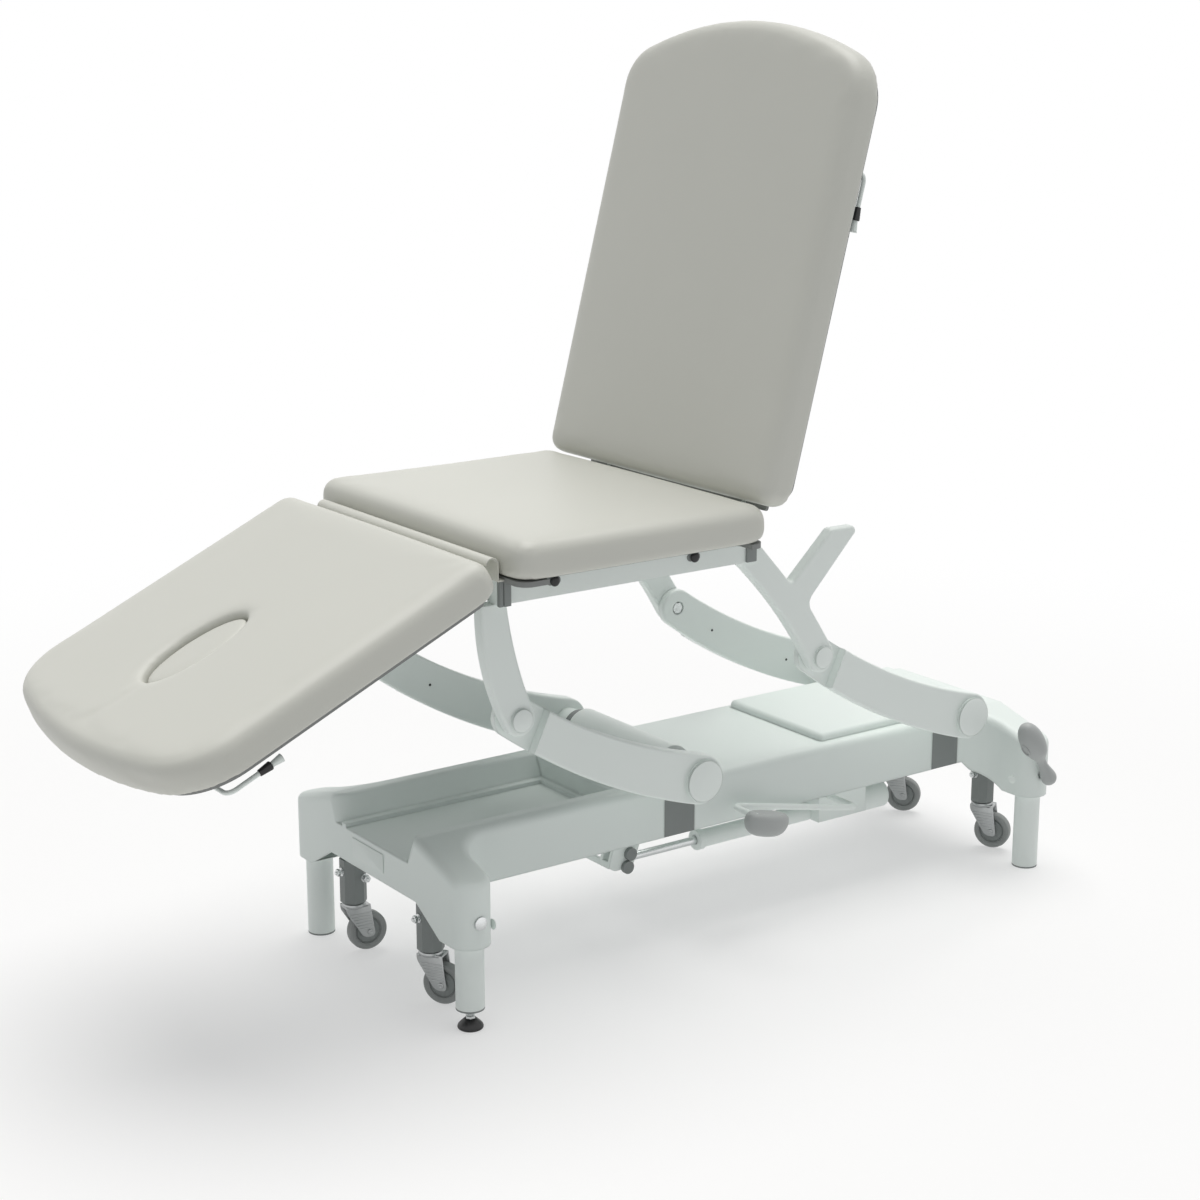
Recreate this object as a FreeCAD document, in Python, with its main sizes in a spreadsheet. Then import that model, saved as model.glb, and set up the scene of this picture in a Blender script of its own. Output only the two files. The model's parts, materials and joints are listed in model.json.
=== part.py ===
import FreeCAD, Part
import math
import os
import re

# Height-adjustable treatment couch: a moulded base on four legs with retracting
# castors, two pairs of lift arms, a seat frame that stays level, a reclining
# backrest and a tilting leg section. Millimetres, +X towards the backrest end,
# +Y to the far side, +Z up, floor at Z = 0.

doc = FreeCAD.newDocument("treatment_couch")
sheet = doc.addObject("Spreadsheet::Sheet", "Sizes")
Vec = FreeCAD.Vector

SIZES = [
    # Where the middle of the base stands along X.
    ("base_middle", 274.0),
    # Legs and their feet.
    ("leg_span", 1348.0), ("leg_gauge", 530.0), ("leg_tube_od", 51.0), ("leg_wall", 2.5),
    ("leg_top", 253.0), ("glide_thick", 3.0), ("plug_depth", 20.0), ("plug_clear", 0.1),
    ("foot_gap", 40.0), ("foot_pad_od", 46.0), ("foot_pad_thick", 14.0), ("foot_screw_od", 12.0),
    ("foot_screw_top", 78.0), ("run_clear", 0.05),
    # Base cover.
    ("cover_wall", 4.0), ("boss_radius", 37.0), ("boss_bottom", 157.0), ("boss_floor", 6.0),
    ("waist_half", 166.0), ("waist_bottom", 212.0), ("flare_radius", 60.0), ("roof_top", 318.0),
    ("roof_flat_half", 150.0), ("roof_eave", 274.0), ("roof_round", 16.0), ("arch_top", 203.0),
    ("arch_half", 150.0), ("leg_hole_clear", 0.5), ("tray_floor", 268.0), ("tray_half", 104.0),
    ("tray_flare", 24.0), ("tray_end", 402.0), ("tray_rim", 10.0), ("tray_ledge", 14.0), ("ledge_rise", 7.0),
    ("mouth_round", 35.0), ("block_start", 218.0), ("block_end", 655.0),
    ("block_half", 143.0), ("block_top", 333.0), ("block_round", 9.0), ("cut_clear", 0.4),
    # Chassis under the cover.
    ("rail_inner", 120.0), ("rail_width", 30.0), ("rail_height", 40.0), ("rail_bottom", 214.0),
    ("end_plate_thick", 10.0), ("end_plate_width", 62.0), ("weld_clear", 0.02),
    ("tower_width", 70.0), ("tower_out", 165.5), ("bearer_width", 40.0), ("bearer_inset", 90.0),
    # Lift arms.
    ("front_pivot", -146.0), ("pivot_spacing", 678.0), ("pivot_height", 337.0), ("arm_run", 403.0),
    ("arm_rise", 191.0), ("arm_inner", 202.0), ("arm_thick", 34.0), ("arm_low_radius", 47.0),
    ("arm_high_radius", 38.0), ("arm_sag", 20.0), ("arm_edge", 5.0), ("spacer_radius", 30.0),
    ("side_clear", 0.5), ("tongue_thick", 15.5), ("tongue_reach", 58.0), ("arm_skin", 4.0),
    ("torque_radius", 42.0), ("torque_half", 142.0), ("shaft_radius", 20.0), ("rear_pin_radius", 15.0),
    ("rear_pin_inner", 146.0), ("saddle_clear", 4.0), ("pivot_cap_radius", 38.0), ("cap_rim", 2.0),
    ("cap_rise", 6.0), ("bolt_radius", 8.0), ("bolt_head_radius", 12.0), ("bolt_head", 7.0),
    ("head_clear", 1.5), ("bolt_end_skin", 4.0), ("small_cap_radius", 21.0), ("small_cap_rise", 4.0),
    # Lift crank, ram and pump.
    ("crank_y", -60.0), ("crank_angle", 15.5), ("crank_radius", 187.0), ("crank_tail", 26.0),
    ("crank_root", 34.0), ("crank_tip", 15.0), ("crank_far", 52.0), ("cheek_thick", 7.5),
    ("yoke_thick", 12.0), ("cheek_gap", 2.6), ("crank_pin_radius", 8.0), ("bush_radius", 12.5),
    ("bush_thick", 8.0),
    ("ram_drop", 195.0), ("ram_radius", 17.5), ("ram_front", -24.0), ("rod_radius", 8.0), ("yoke_up", 26.5),
    ("rod_tail", 240.0), ("yoke_wall", 8.0), ("slot_half", 14.0), ("slot_rise", 30.0), ("tie_thick", 8.0),
    ("tie_deep", 12.0), ("pump_start", 255.0), ("pump_length", 125.0), ("pump_width", 80.0),
    ("pump_below", 12.0), ("reservoir_radius", 28.0), ("reservoir_length", 75.0),
    ("pedal_pivot_x", 281.0), ("pedal_pivot_z", 181.5), ("pedal_rod_radius", 6.0),
    ("pedal_side", 185.0), ("pedal_reach", 316.0), ("pedal_lift", 68.5), ("pedal_bend", 20.0),
    ("pedal_end", 262.0), ("pad_length", 102.0), ("pad_width", 58.0), ("pad_thick", 38.0),
    ("pad_round", 14.0), ("pad_grip", 33.0), ("pad_ahead", 23.0), ("pad_drop", 15.0),
    # Castors and their lift.
    ("castor_gauge", 274.0), ("wheel_radius", 37.5), ("wheel_width", 22.0), ("wheel_lift", 4.0),
    ("castor_trail", 25.0), ("axle_radius", 4.0), ("fork_gap", 2.0), ("fork_sheet", 3.0),
    ("fork_plate_radius", 22.0), ("fork_plate", 4.5), ("swivel_gap", 0.5), ("stem_radius", 6.0),
    ("stem_length", 25.0), ("sleeve_flats", 46.0), ("sleeve_bottom", 104.0),
    ("lift_shaft_z", 205.0), ("lift_shaft_radius", 7.0), ("eccentric_throw", 8.0),
    ("eccentric_angle", 40.0), ("eccentric_radius", 17.0), ("eccentric_width", 20.0),
    ("yoke_clear", 0.4), ("yoke_side", 1.5), ("head_wall", 6.0), ("head_thick", 24.0),
    ("post_radius", 8.0), ("post_top", 262.0), ("shaft_hole_radius", 9.0), ("shaft_far_end", 285.0),
    ("shaft_proud", 1.5), ("dome_radius", 12.0), ("dome_rise", 5.0), ("tie_y", 60.0),
    ("tie_radius", 30.0), ("tie_angle", 50.0), ("tie_rod_radius", 5.0), ("tie_eye_radius", 9.0),
    ("tie_cheek", 8.0), ("tie_pin_radius", 5.0), ("tie_gap", 0.6),
    ("lever_angle", 122.4), ("lever_reach", 101.0), ("lever_hub_radius", 17.0),
    ("lever_hub_width", 30.0), ("lever_bar", 22.0), ("lever_bar_thick", 15.0),
    ("lever_pad_length", 80.0), ("lever_pad_width", 46.0), ("lever_pad_y", 321.0),
    ("lever_pad_thick", 26.0), ("lever_pad_round", 11.0),
    # Seat frame.
    ("seat_stack", 292.0), ("leg_hinge_ahead", 82.0), ("hinge_spacing", 561.0), ("pad_under", 33.0),
    ("seat_rail_outer", 252.0), ("seat_rail_width", 30.0), ("seat_rail_height", 47.0),
    ("seat_rail_wall", 3.0), ("rail_front_gap", 30.0), ("rail_rear_over", 25.0),
    ("strap_width", 60.0), ("strap_thick", 10.0), ("strap_front", 161.0), ("strap_rear", 381.0),
    ("end_cap_width", 23.0), ("end_cap_proud", 9.0), ("rear_cap_height", 32.0),
    ("bracket_thick", 26.0), ("bracket_end_radius", 30.0), ("bracket_edge", 6.0),
    ("bracket_top_near", 26.0), ("bracket_top_far", 79.0), ("fork_root", 24.0), ("fork_crotch", 95.0),
    ("fork_rise", 20.0), ("fork_lip", 27.0), ("fork_seat", 34.2), ("fork_neck", 38.0), ("stop_root", 16.0),
    ("knob_radius", 8.0), ("knob_proud", 13.0), ("knob_front", 144.0), ("knob_rear", 444.0),
    ("knob_drop", 20.0), ("stop_gap", 1.0), ("stop_length", 54.0),
    # Section hinges.
    ("eye_radius", 10.0), ("hinge_pin_radius", 6.0), ("leaf_thick", 10.0), ("leaf_outer", 226.0),
    ("leaf_gap", 1.0), ("strip_half", 293.0), ("strip_sheet", 2.2), ("strip_clear", 0.8),
    # Upholstered sections. Reaches are measured from the hinge axis of each one.
    ("couch_half", 345.0), ("board_thick", 9.0), ("board_inset", 8.0), ("cushion_top", 46.0),
    ("cushion_crown", 3.0), ("cushion_round_top", 28.0), ("cushion_round_low", 6.0),
    ("seat_board_half", 298.0), ("board_ear_front", 55.0), ("board_ear_rear", 32.0), ("board_notch", 8.0),
    ("leg_gap", 24.0), ("back_gap", 31.0), ("seat_gap_front", 16.0), ("seat_gap_rear", 12.0),
    ("pad_corner", 32.0),
    ("leg_reach", 690.0), ("leg_corner", 120.0), ("leg_arch", 1100.0), ("leg_droop", 24.5),
    ("back_reach", 892.0), ("back_corner", 90.0), ("back_arch", 830.0), ("back_raise", 75.28),
    ("hole_middle", 425.0), ("hole_length", 206.0), ("hole_width", 98.0), ("hole_round", 9.0),
    ("plug_gap", 3.0), ("plug_drop", 9.0), ("plug_round", 7.0), ("ledge", 24.0),
    # Section frames, struts and release levers.
    ("leg_rail_inner", 190.0), ("leg_rail_width", 25.0), ("leg_rail_start", 24.0), ("leg_rail_end", 600.0),
    ("section_rail", 14.5), ("back_rail_inner", 215.0), ("back_rail_width", 30.0),
    ("back_rail_start", 40.0), ("back_rail_end", 700.0), ("section_strap", 40.0),
    ("section_strap_thick", 10.0), ("strut_y", 45.0), ("strut_arm", 75.0), ("strut_radius", 13.0),
    ("strut_rod_radius", 5.0), ("strut_pin_radius", 5.0), ("strut_yoke_half", 12.0),
    ("strut_yoke_thick", 8.0), ("strut_slot_clear", 2.0), ("strut_cheek", 6.0), ("strut_gap", 1.0),
    ("strut_rest", 140.0), ("leg_strut_z", 70.0), ("leg_slot_rise", 13.0), ("back_strut_z", 67.0),
    ("back_slot_rise", 16.0), ("strut_front", 86.0), ("strut_rear", 426.0), ("lug_width", 30.0),
    ("release_rod_radius", 4.0), ("release_depth", 56.0), ("release_hold", 22.0),
    ("release_inner", 150.0), ("release_side", 305.0), ("release_bend", 16.0),
    ("release_run", 82.0), ("grip_length", 22.0), ("grip_radius", 7.5),
    ("leg_release_at", 578.0), ("back_release_at", 640.0),
]

for row, (alias, value) in enumerate(SIZES, start=1):
    sheet.set("A%d" % row, alias)
    sheet.set("B%d" % row, "%g" % value)
    sheet.setAlias("B%d" % row, alias)
doc.recompute()


class Values:
    """The sheet's numbers as plain attributes."""


s = Values()
for alias, value in SIZES:
    setattr(s, alias, float(sheet.get(alias)))
ALIASES = set(alias for alias, value in SIZES)
nodes = []


def bind(item, prop, formula):
    """Tie one property to the sheet, with the aliases written bare in the formula."""
    def qualify(match):
        word = match.group(0)
        return "Sizes." + word if word in ALIASES else word
    item.setExpression(prop, re.sub(r"[a-z][a-z_0-9]*", qualify, formula))


def node(label, item):
    item.Label = label
    nodes.append(item)
    return item


def cylinder(name, radius, height, base, direction=(0, 0, 1)):
    item = doc.addObject("Part::Cylinder", name)
    bind(item, "Radius", radius)
    bind(item, "Height", height)
    turn = FreeCAD.Rotation(Vec(0, 0, 1), Vec(*direction))
    item.Placement = FreeCAD.Placement(Vec(*base), turn)
    return item


def box(name, lengths, corner):
    item = doc.addObject("Part::Box", name)
    for prop, formula in zip(("Length", "Width", "Height"), lengths):
        bind(item, prop, formula)
    item.Placement = FreeCAD.Placement(Vec(*corner), FreeCAD.Rotation())
    return item


def span(name, low, high):
    """A box between two corners that other sizes have already fixed."""
    item = doc.addObject("Part::Box", name)
    item.Length = high[0] - low[0]
    item.Width = high[1] - low[1]
    item.Height = high[2] - low[2]
    item.Placement = FreeCAD.Placement(Vec(*low), FreeCAD.Rotation())
    return item


def fuse(name, items):
    item = doc.addObject("Part::MultiFuse", name)
    item.Shapes = items
    return item


def cut(name, base, tools):
    item = doc.addObject("Part::Cut", name)
    item.Base = base
    item.Tool = tools[0] if len(tools) == 1 else fuse(name + "_tools", tools)
    return item


def group(name, items):
    item = doc.addObject("Part::Compound", name)
    item.Links = items
    return item


def solid(name, shape, place=None):
    """A shape that neither a body nor the primitives give."""
    item = doc.addObject("Part::Feature", name)
    item.Shape = shape
    if place is not None:
        item.Placement = place
    return item


def line(a, b):
    return Part.LineSegment(Vec(a[0], a[1], 0), Vec(b[0], b[1], 0))


def arc(a, b, c):
    return Part.Arc(Vec(a[0], a[1], 0), Vec(b[0], b[1], 0), Vec(c[0], c[1], 0))


def loop(points):
    return [line(a, b) for a, b in zip(points, points[1:] + points[:1])]


def chain(points):
    """Straight runs through (x, y, corner radius) points, rounded where the radius isn't zero."""
    curves = []
    start = points[0][:2]
    for before, corner, after in zip(points, points[1:], points[2:]):
        here = Vec(corner[0], corner[1], 0)
        last = here
        first = here
        if corner[2]:
            into = (Vec(before[0], before[1], 0) - here).normalize()
            out = (Vec(after[0], after[1], 0) - here).normalize()
            angle = into.getAngle(out)
            first = here + into * (corner[2] / math.tan(angle / 2))
            last = here + out * (corner[2] / math.tan(angle / 2))
            middle = here + (into + out).normalize() * (corner[2] / math.sin(angle / 2) - corner[2])
        curves.append(line(start, first))
        if corner[2]:
            curves.append(arc(first, middle, last))
        start = last
    curves.append(line(start, points[-1][:2]))
    return curves


def circle(x, y, radius):
    return Part.Circle(Vec(x, y, 0), Vec(0, 0, 1), radius)


def sketch_on(body, name, curves):
    sketch = body.newObject("Sketcher::SketchObject", name + "_outline")
    plane = [f for f in body.Origin.OriginFeatures if f.Role == "XY_Plane"][0]
    sketch.AttachmentSupport = (plane, [""])
    sketch.MapMode = "FlatFace"
    sketch.addGeometry(curves, False)
    return sketch


def plate(name, curves, depth, place, edge=None, sharp=None):
    """A padded outline; edge rounds the rims of its two faces, except where sharp says so."""
    body = doc.addObject("PartDesign::Body", name)
    pad = body.newObject("PartDesign::Pad", name + "_pad")
    pad.Profile = sketch_on(body, name, curves)
    bind(pad, "Length", depth)
    if edge:
        doc.recompute()
        top = pad.Shape.BoundBox.ZMax
        rims = []
        for index, rim in enumerate(pad.Shape.Edges, start=1):
            bounds = rim.BoundBox
            flat = bounds.ZMax - bounds.ZMin < 1e-6
            kept = sharp is not None and sharp(bounds)
            if flat and not kept and (abs(bounds.ZMin) < 1e-6 or abs(bounds.ZMin - top) < 1e-6):
                rims.append("Edge%d" % index)
        soft = body.newObject("PartDesign::Fillet", name + "_edges")
        soft.Base = (pad, rims)
        bind(soft, "Radius", edge)
        body.Tip = soft
    body.Placement = place
    return body


def turned(name, curves, place):
    """A profile turned about its own vertical axis."""
    body = doc.addObject("PartDesign::Body", name)
    spin = body.newObject("PartDesign::Revolution", name + "_turn")
    sketch = sketch_on(body, name, curves)
    spin.Profile = sketch
    spin.ReferenceAxis = (sketch, ["V_Axis"])
    spin.Angle = 360.0
    body.Placement = place
    return body


def upright(x, y, z):
    """Outline X to X and outline Y to Z; the depth runs towards -Y."""
    return FreeCAD.Placement(Vec(x, y, z), FreeCAD.Rotation(Vec(1, 0, 0), 90))


def facing(x, y, z, side):
    """A turned piece whose axis points outwards on one side, -1 near and 1 far."""
    return FreeCAD.Placement(Vec(x, y, z), FreeCAD.Rotation(Vec(0, 1, 0), Vec(0, side, 0)))


def layer(side, inner, thick):
    """Y where an upright plate starts so that it fills inner to inner + thick on one side."""
    return -inner if side < 0 else inner + thick


def dome(name, radius, rim, rise, place):
    top = rim + rise
    bulge = (radius * radius + rise * rise) / (2 * rise)
    half = math.asin(radius / bulge) / 2
    middle = (bulge * math.sin(half), top - bulge * (1 - math.cos(half)))
    curves = [line((0, 0), (radius, 0)), line((radius, 0), (radius, rim)),
              arc((radius, rim), middle, (0, top)), line((0, top), (0, 0))]
    return turned(name, curves, place)


def bent_rod(points, radius, bend):
    """A round bar along straight runs joined by tangent arcs."""
    points = [Vec(*p) for p in points]
    edges = []
    start = points[0]
    for before, corner, after in zip(points, points[1:], points[2:]):
        into = (before - corner).normalize()
        out = (after - corner).normalize()
        angle = into.getAngle(out)
        reach = bend / math.tan(angle / 2)
        first = corner + into * reach
        last = corner + out * reach
        bisect = (into + out).normalize()
        middle = corner + bisect * (bend / math.sin(angle / 2) - bend)
        edges.append(Part.LineSegment(start, first).toShape())
        edges.append(Part.Arc(first, middle, last).toShape())
        start = last
    edges.append(Part.LineSegment(start, points[-1]).toShape())
    path = Part.Wire(edges)
    ring = Part.Wire(Part.makeCircle(radius, points[0], points[1] - points[0]))
    return path.makePipeShell([ring], True, False)


# Positions that several pieces share.
mid = s.base_middle
leg_x = s.leg_span / 2
leg_y = s.leg_gauge / 2
leg_r = s.leg_tube_od / 2
corners = [("near_left", -1, -1), ("far_left", -1, 1), ("near_right", 1, -1), ("far_right", 1, 1)]
front_x = mid + s.front_pivot
rear_x = front_x + s.pivot_spacing
low_z = s.pivot_height
high_z = low_z + s.arm_rise
front_high_x = front_x - s.arm_run
rear_high_x = rear_x - s.arm_run
hinge_z = high_z + s.seat_stack
leg_hinge_x = front_high_x - s.leg_hinge_ahead
back_hinge_x = leg_hinge_x + s.hinge_spacing
tower_in = s.rail_inner + s.rail_width
arm_out = s.arm_inner + s.arm_thick
seat_rail_top = hinge_z - s.pad_under
seat_rail_low = seat_rail_top - s.seat_rail_height
seat_rail_in = s.seat_rail_outer - s.seat_rail_width
bracket_in = s.arm_inner + s.tongue_thick + s.side_clear
bracket_out = bracket_in + s.bracket_thick

# Legs: thin tubes from the glides up to the end plates. The near left one is
# shorter and carries a levelling foot.
tubes = []
glides = []
shaft_z = s.lift_shaft_z
for label, along, across in corners:
    at = (mid + along * leg_x, across * leg_y)
    footed = label == "near_left"
    low = "foot_gap" if footed else "glide_thick"
    bottom = s.foot_gap if footed else s.glide_thick
    outer = cylinder(label + "_tube", "leg_tube_od / 2", "leg_top - " + low, at + (bottom,))
    bore = cylinder(label + "_tube_bore", "leg_tube_od / 2 - leg_wall", "leg_top", at + (0,))
    cross = cylinder(label + "_tube_cross", "shaft_hole_radius", "leg_tube_od * 2",
                     (at[0], at[1] - s.leg_tube_od, shaft_z), (0, 1, 0))
    tubes.append(cut(label + "_leg", outer, [bore, cross]))
    rim = cylinder(label + "_rim", "leg_tube_od / 2", "glide_thick", at + (bottom - s.glide_thick,))
    plug = cylinder(label + "_plug", "leg_tube_od / 2 - leg_wall - plug_clear",
                    "plug_depth + glide_thick", at + (bottom - s.glide_thick,))
    stopper = fuse(label + "_stopper", [rim, plug])
    if footed:
        thread = cylinder("foot_thread", "foot_screw_od / 2 + run_clear", "foot_screw_top", at + (0,))
        stopper = cut("foot_socket", stopper, [thread])
    glides.append(stopper)
node("leg_tubes", group("leg_tube_set", tubes))
node("leg_glides", group("leg_glide_set", glides))
foot_at = (mid - leg_x, -leg_y)
foot_pad = doc.addObject("Part::Cone", "foot_pad")
bind(foot_pad, "Radius1", "foot_pad_od / 2")
bind(foot_pad, "Radius2", "foot_pad_od / 2 - foot_pad_thick / 2")
bind(foot_pad, "Height", "foot_pad_thick")
foot_pad.Placement = FreeCAD.Placement(Vec(foot_at[0], foot_at[1], 0), FreeCAD.Rotation())
foot_screw = cylinder("foot_screw", "foot_screw_od / 2", "foot_screw_top", foot_at + (0,))
node("levelling_foot", fuse("levelling_foot_solid", [foot_pad, foot_screw]))

# Base cover: a thin moulded shell with a boss over each leg, a narrow waist that
# the arms pass, a tray open at the front end and a raised block at the rear.


def cover_plan(inset, low, high):
    radius = s.boss_radius - inset
    flare = s.flare_radius + inset
    waist = s.waist_half - inset
    out_x, in_x, out_y = leg_x + radius, leg_x - radius, leg_y + radius
    flare_x = leg_x - s.boss_radius - s.flare_radius
    flare_y = s.waist_half + s.flare_radius
    side = flare * math.sqrt(0.5)
    dip = (flare_x + side, flare_y - side)
    curves = [
        arc((flare_x, waist), dip, (in_x, flare_y)), line((in_x, flare_y), (in_x, leg_y)),
        arc((in_x, leg_y), (leg_x, out_y), (out_x, leg_y)), line((out_x, leg_y), (out_x, -leg_y)),
        arc((out_x, -leg_y), (leg_x, -out_y), (in_x, -leg_y)),
        line((in_x, -leg_y), (in_x, -flare_y)),
        arc((in_x, -flare_y), (dip[0], -dip[1]), (flare_x, -waist)),
        line((flare_x, -waist), (-flare_x, -waist)),
        arc((-flare_x, -waist), (-dip[0], -dip[1]), (-in_x, -flare_y)),
        line((-in_x, -flare_y), (-in_x, -leg_y)),
        arc((-in_x, -leg_y), (-leg_x, -out_y), (-out_x, -leg_y)),
        line((-out_x, -leg_y), (-out_x, leg_y)),
        arc((-out_x, leg_y), (-leg_x, out_y), (-in_x, leg_y)),
        line((-in_x, leg_y), (-in_x, flare_y)),
        arc((-in_x, flare_y), (-dip[0], dip[1]), (-flare_x, waist)),
        line((-flare_x, waist), (flare_x, waist)),
    ]
    face = Part.Face(Part.Wire([c.toShape() for c in curves]))
    face.translate(Vec(mid, 0, low))
    return face.extrude(Vec(0, 0, high - low))


def along_x(points, start, end):
    """A closed Y-Z outline swept straight along X."""
    ring = [Vec(start, y, z) for y, z in points]
    face = Part.Face(Part.makePolygon(ring + ring[:1]))
    return face.extrude(Vec(end - start, 0, 0))


def along_y(points, half):
    """A closed X-Z outline swept straight across the couch."""
    ring = [Vec(x, -half, z) for x, z in points]
    face = Part.Face(Part.makePolygon(ring + ring[:1]))
    return face.extrude(Vec(0, 2 * half, 0))


def cover_mass(inset, low):
    wide = leg_y + s.boss_radius
    top = s.roof_top - inset
    eave = s.roof_eave - inset
    far = leg_x + 2 * s.boss_radius
    profile = [(-wide, low), (-wide, eave), (-s.roof_flat_half, top), (s.roof_flat_half, top),
               (wide, eave), (wide, low)]
    mass = cover_plan(inset, low, s.block_top).common(along_x(profile, mid - far, mid + far))
    rims = []
    for rim in mass.Edges:
        bounds = rim.BoundBox
        middle = rim.valueAt((rim.FirstParameter + rim.LastParameter) / 2)
        if bounds.ZMin > low + 1 and bounds.ZMax - bounds.ZMin < 60:
            inside = abs(middle.y) < s.roof_flat_half + 1 and abs(middle.x - mid) < leg_x
            sloped = bounds.XLength > 10 and bounds.YLength < 1e-3 and inside
            if not sloped:
                rims.append(rim)
    return mass.makeFillet(s.roof_round - inset, rims)


def rounded_box(low, high, radius):
    block = Part.makeBox(high[0] - low[0], high[1] - low[1], high[2] - low[2], Vec(*low))
    edges = [e for e in block.Edges if e.BoundBox.ZMax > low[2] + 1]
    return block.makeFillet(radius, edges)


def cover_block(inset):
    low = (mid + s.block_start + inset, inset - s.block_half, s.roof_top - 2 * s.roof_round)
    high = (mid + s.block_end - inset, s.block_half - inset, s.block_top - inset)
    return rounded_box(low, high, s.block_round - inset)


def prism(curves, low, high):
    face = Part.Face(Part.Wire([c.toShape() for c in curves]))
    face.translate(Vec(0, 0, low))
    return face.extrude(Vec(0, 0, high - low))


# The tray's walls lean outwards and roll over into the roof. Its open end is
# rounded in plan, and a low ledge runs along its far wall and its closed end.
tray_lean = math.atan2(s.tray_flare, s.roof_top - s.tray_floor)
tray_x = mid - leg_x + s.tray_end
mouth_x = mid - leg_x - s.boss_radius
edge_proud = 0.05


def wall_at(height, outset):
    """How far out the leaning tray wall stands at a height."""
    return s.tray_half + math.tan(tray_lean) * (height - s.tray_floor) + outset / math.cos(tray_lean)


def tray(outset):
    floor = s.tray_floor - outset
    top = s.roof_top + s.roof_round
    start = mouth_x - s.boss_radius
    r = s.tray_rim - outset
    hub_z = s.roof_top - s.tray_rim + edge_proud
    hub_y = wall_at(hub_z, s.tray_rim)
    half_turn = (math.pi / 2 - tray_lean) / 2
    sides = []
    for side in (-1, 1):
        low = (side * wall_at(floor, outset), floor)
        first = (side * (hub_y - r * math.cos(tray_lean)), hub_z + r * math.sin(tray_lean))
        middle = (side * (hub_y - r * math.sin(half_turn)), hub_z + r * math.cos(half_turn))
        last = (side * hub_y, hub_z + r)
        sides.append((low, first, middle, last, (side * hub_y, top)))
    near, far = sides
    across = [line(near[4], near[3]), arc(near[3], near[2], near[1]), line(near[1], near[0]),
              line(near[0], far[0]),
              line(far[0], far[1]), arc(far[1], far[2], far[3]), line(far[3], far[4]), line(far[4], near[4])]
    form = prism(across, start, tray_x + 2 * s.tray_rim)
    form.Placement = FreeCAD.Placement(Vec(), FreeCAD.Rotation(Vec(1, 1, 1), 120))
    end = tray_x + outset
    hub_x = tray_x + s.tray_rim
    slant = r * math.sqrt(0.5)
    along = [line((start, floor), (end, floor)), line((end, floor), (end, hub_z)),
             arc((end, hub_z), (hub_x - slant, hub_z + slant), (hub_x, hub_z + r)),
             line((hub_x, hub_z + r), (hub_x, top)), line((hub_x, top), (start, top)),
             line((start, top), (start, floor))]
    reach = s.waist_half + s.boss_radius
    stop = prism(along, -reach, reach)
    stop.Placement = FreeCAD.Placement(Vec(), FreeCAD.Rotation(Vec(1, 0, 0), 90))
    return form.common(stop)


def mouth(outset):
    """The rounded corners of the tray's open end, which lean with its walls."""
    floor = s.tray_floor - outset
    rise = s.roof_top + s.roof_round - floor
    r = s.mouth_round - outset / math.cos(tray_lean)
    slant = r * math.sqrt(0.5)
    hub_x = mouth_x + s.mouth_round - 30 * edge_proud
    out_x = mouth_x - s.boss_radius
    corners_cut = []
    for side in (-1, 1):
        hub_y = side * (wall_at(floor, 0) + s.mouth_round)
        first = (hub_x, hub_y - side * r)
        last = (hub_x - r, hub_y)
        curves = [line((out_x, first[1]), first), arc(first, (hub_x - slant, hub_y - side * slant), last),
                  line(last, (out_x, hub_y)), line((out_x, hub_y), (out_x, first[1]))]
        face = Part.Face(Part.Wire([c.toShape() for c in curves]))
        face.translate(Vec(0, 0, floor))
        corners_cut.append(face.extrude(Vec(0, side * rise * math.tan(tray_lean), rise)))
    return corners_cut[0].fuse(corners_cut[1])


def ledges():
    """The low step left standing along the tray's far wall and closed end."""
    long = tray_x - mouth_x
    wide = 2 * s.waist_half
    far = Part.makeBox(long, wide, s.ledge_rise, Vec(mouth_x, s.tray_half - s.tray_ledge, s.tray_floor))
    end = Part.makeBox(long, wide, s.ledge_rise, Vec(tray_x - s.tray_ledge, -s.waist_half, s.tray_floor))
    return far.fuse(end)


def saddle(outset):
    radius = s.torque_radius + s.saddle_clear + outset
    reach = s.waist_half + s.boss_radius
    return Part.makeCylinder(radius, 2 * reach, Vec(front_x, -reach, low_z), Vec(0, 1, 0))


shell = cover_mass(0, s.boss_bottom).fuse(cover_block(0))
hollow = cover_mass(s.cover_wall, s.boss_bottom + s.boss_floor).fuse(cover_block(s.cover_wall))
hollow = hollow.cut(tray(s.cover_wall)).cut(mouth(s.cover_wall)).cut(saddle(s.cover_wall))
shell = shell.cut(hollow).cut(tray(0).cut(ledges())).cut(mouth(0)).cut(saddle(0))
knee = leg_x - s.boss_radius
slope = s.waist_bottom - s.boss_bottom
under = [(mid - knee, s.boss_bottom), (mid - knee + slope, s.waist_bottom),
         (mid + knee - slope, s.waist_bottom), (mid + knee, s.boss_bottom),
         (mid + knee, s.boss_bottom - slope), (mid - knee, s.boss_bottom - slope)]
shell = shell.cut(along_y(under, leg_y + 2 * s.boss_radius))
arch_foot = leg_y - s.boss_radius
arch = [(-arch_foot, s.boss_bottom - slope), (-arch_foot, s.boss_bottom), (-s.arch_half, s.arch_top),
        (s.arch_half, s.arch_top), (arch_foot, s.boss_bottom), (arch_foot, s.boss_bottom - slope)]
reach = leg_x + 2 * s.boss_radius
shell = shell.cut(along_x(arch, mid - reach, mid + reach))
slots = []
for pivot in (front_x, rear_x):
    for across in (-1, 1):
        half = s.tower_width / 2 + s.cut_clear
        start = tower_in - s.rail_width / 5
        low_y = start if across > 0 else -s.waist_half - s.rail_width
        slots.append(Part.makeBox(2 * half, s.waist_half + s.rail_width - start, low_z,
                                  Vec(pivot - half, low_y, s.boss_bottom)))
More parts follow.
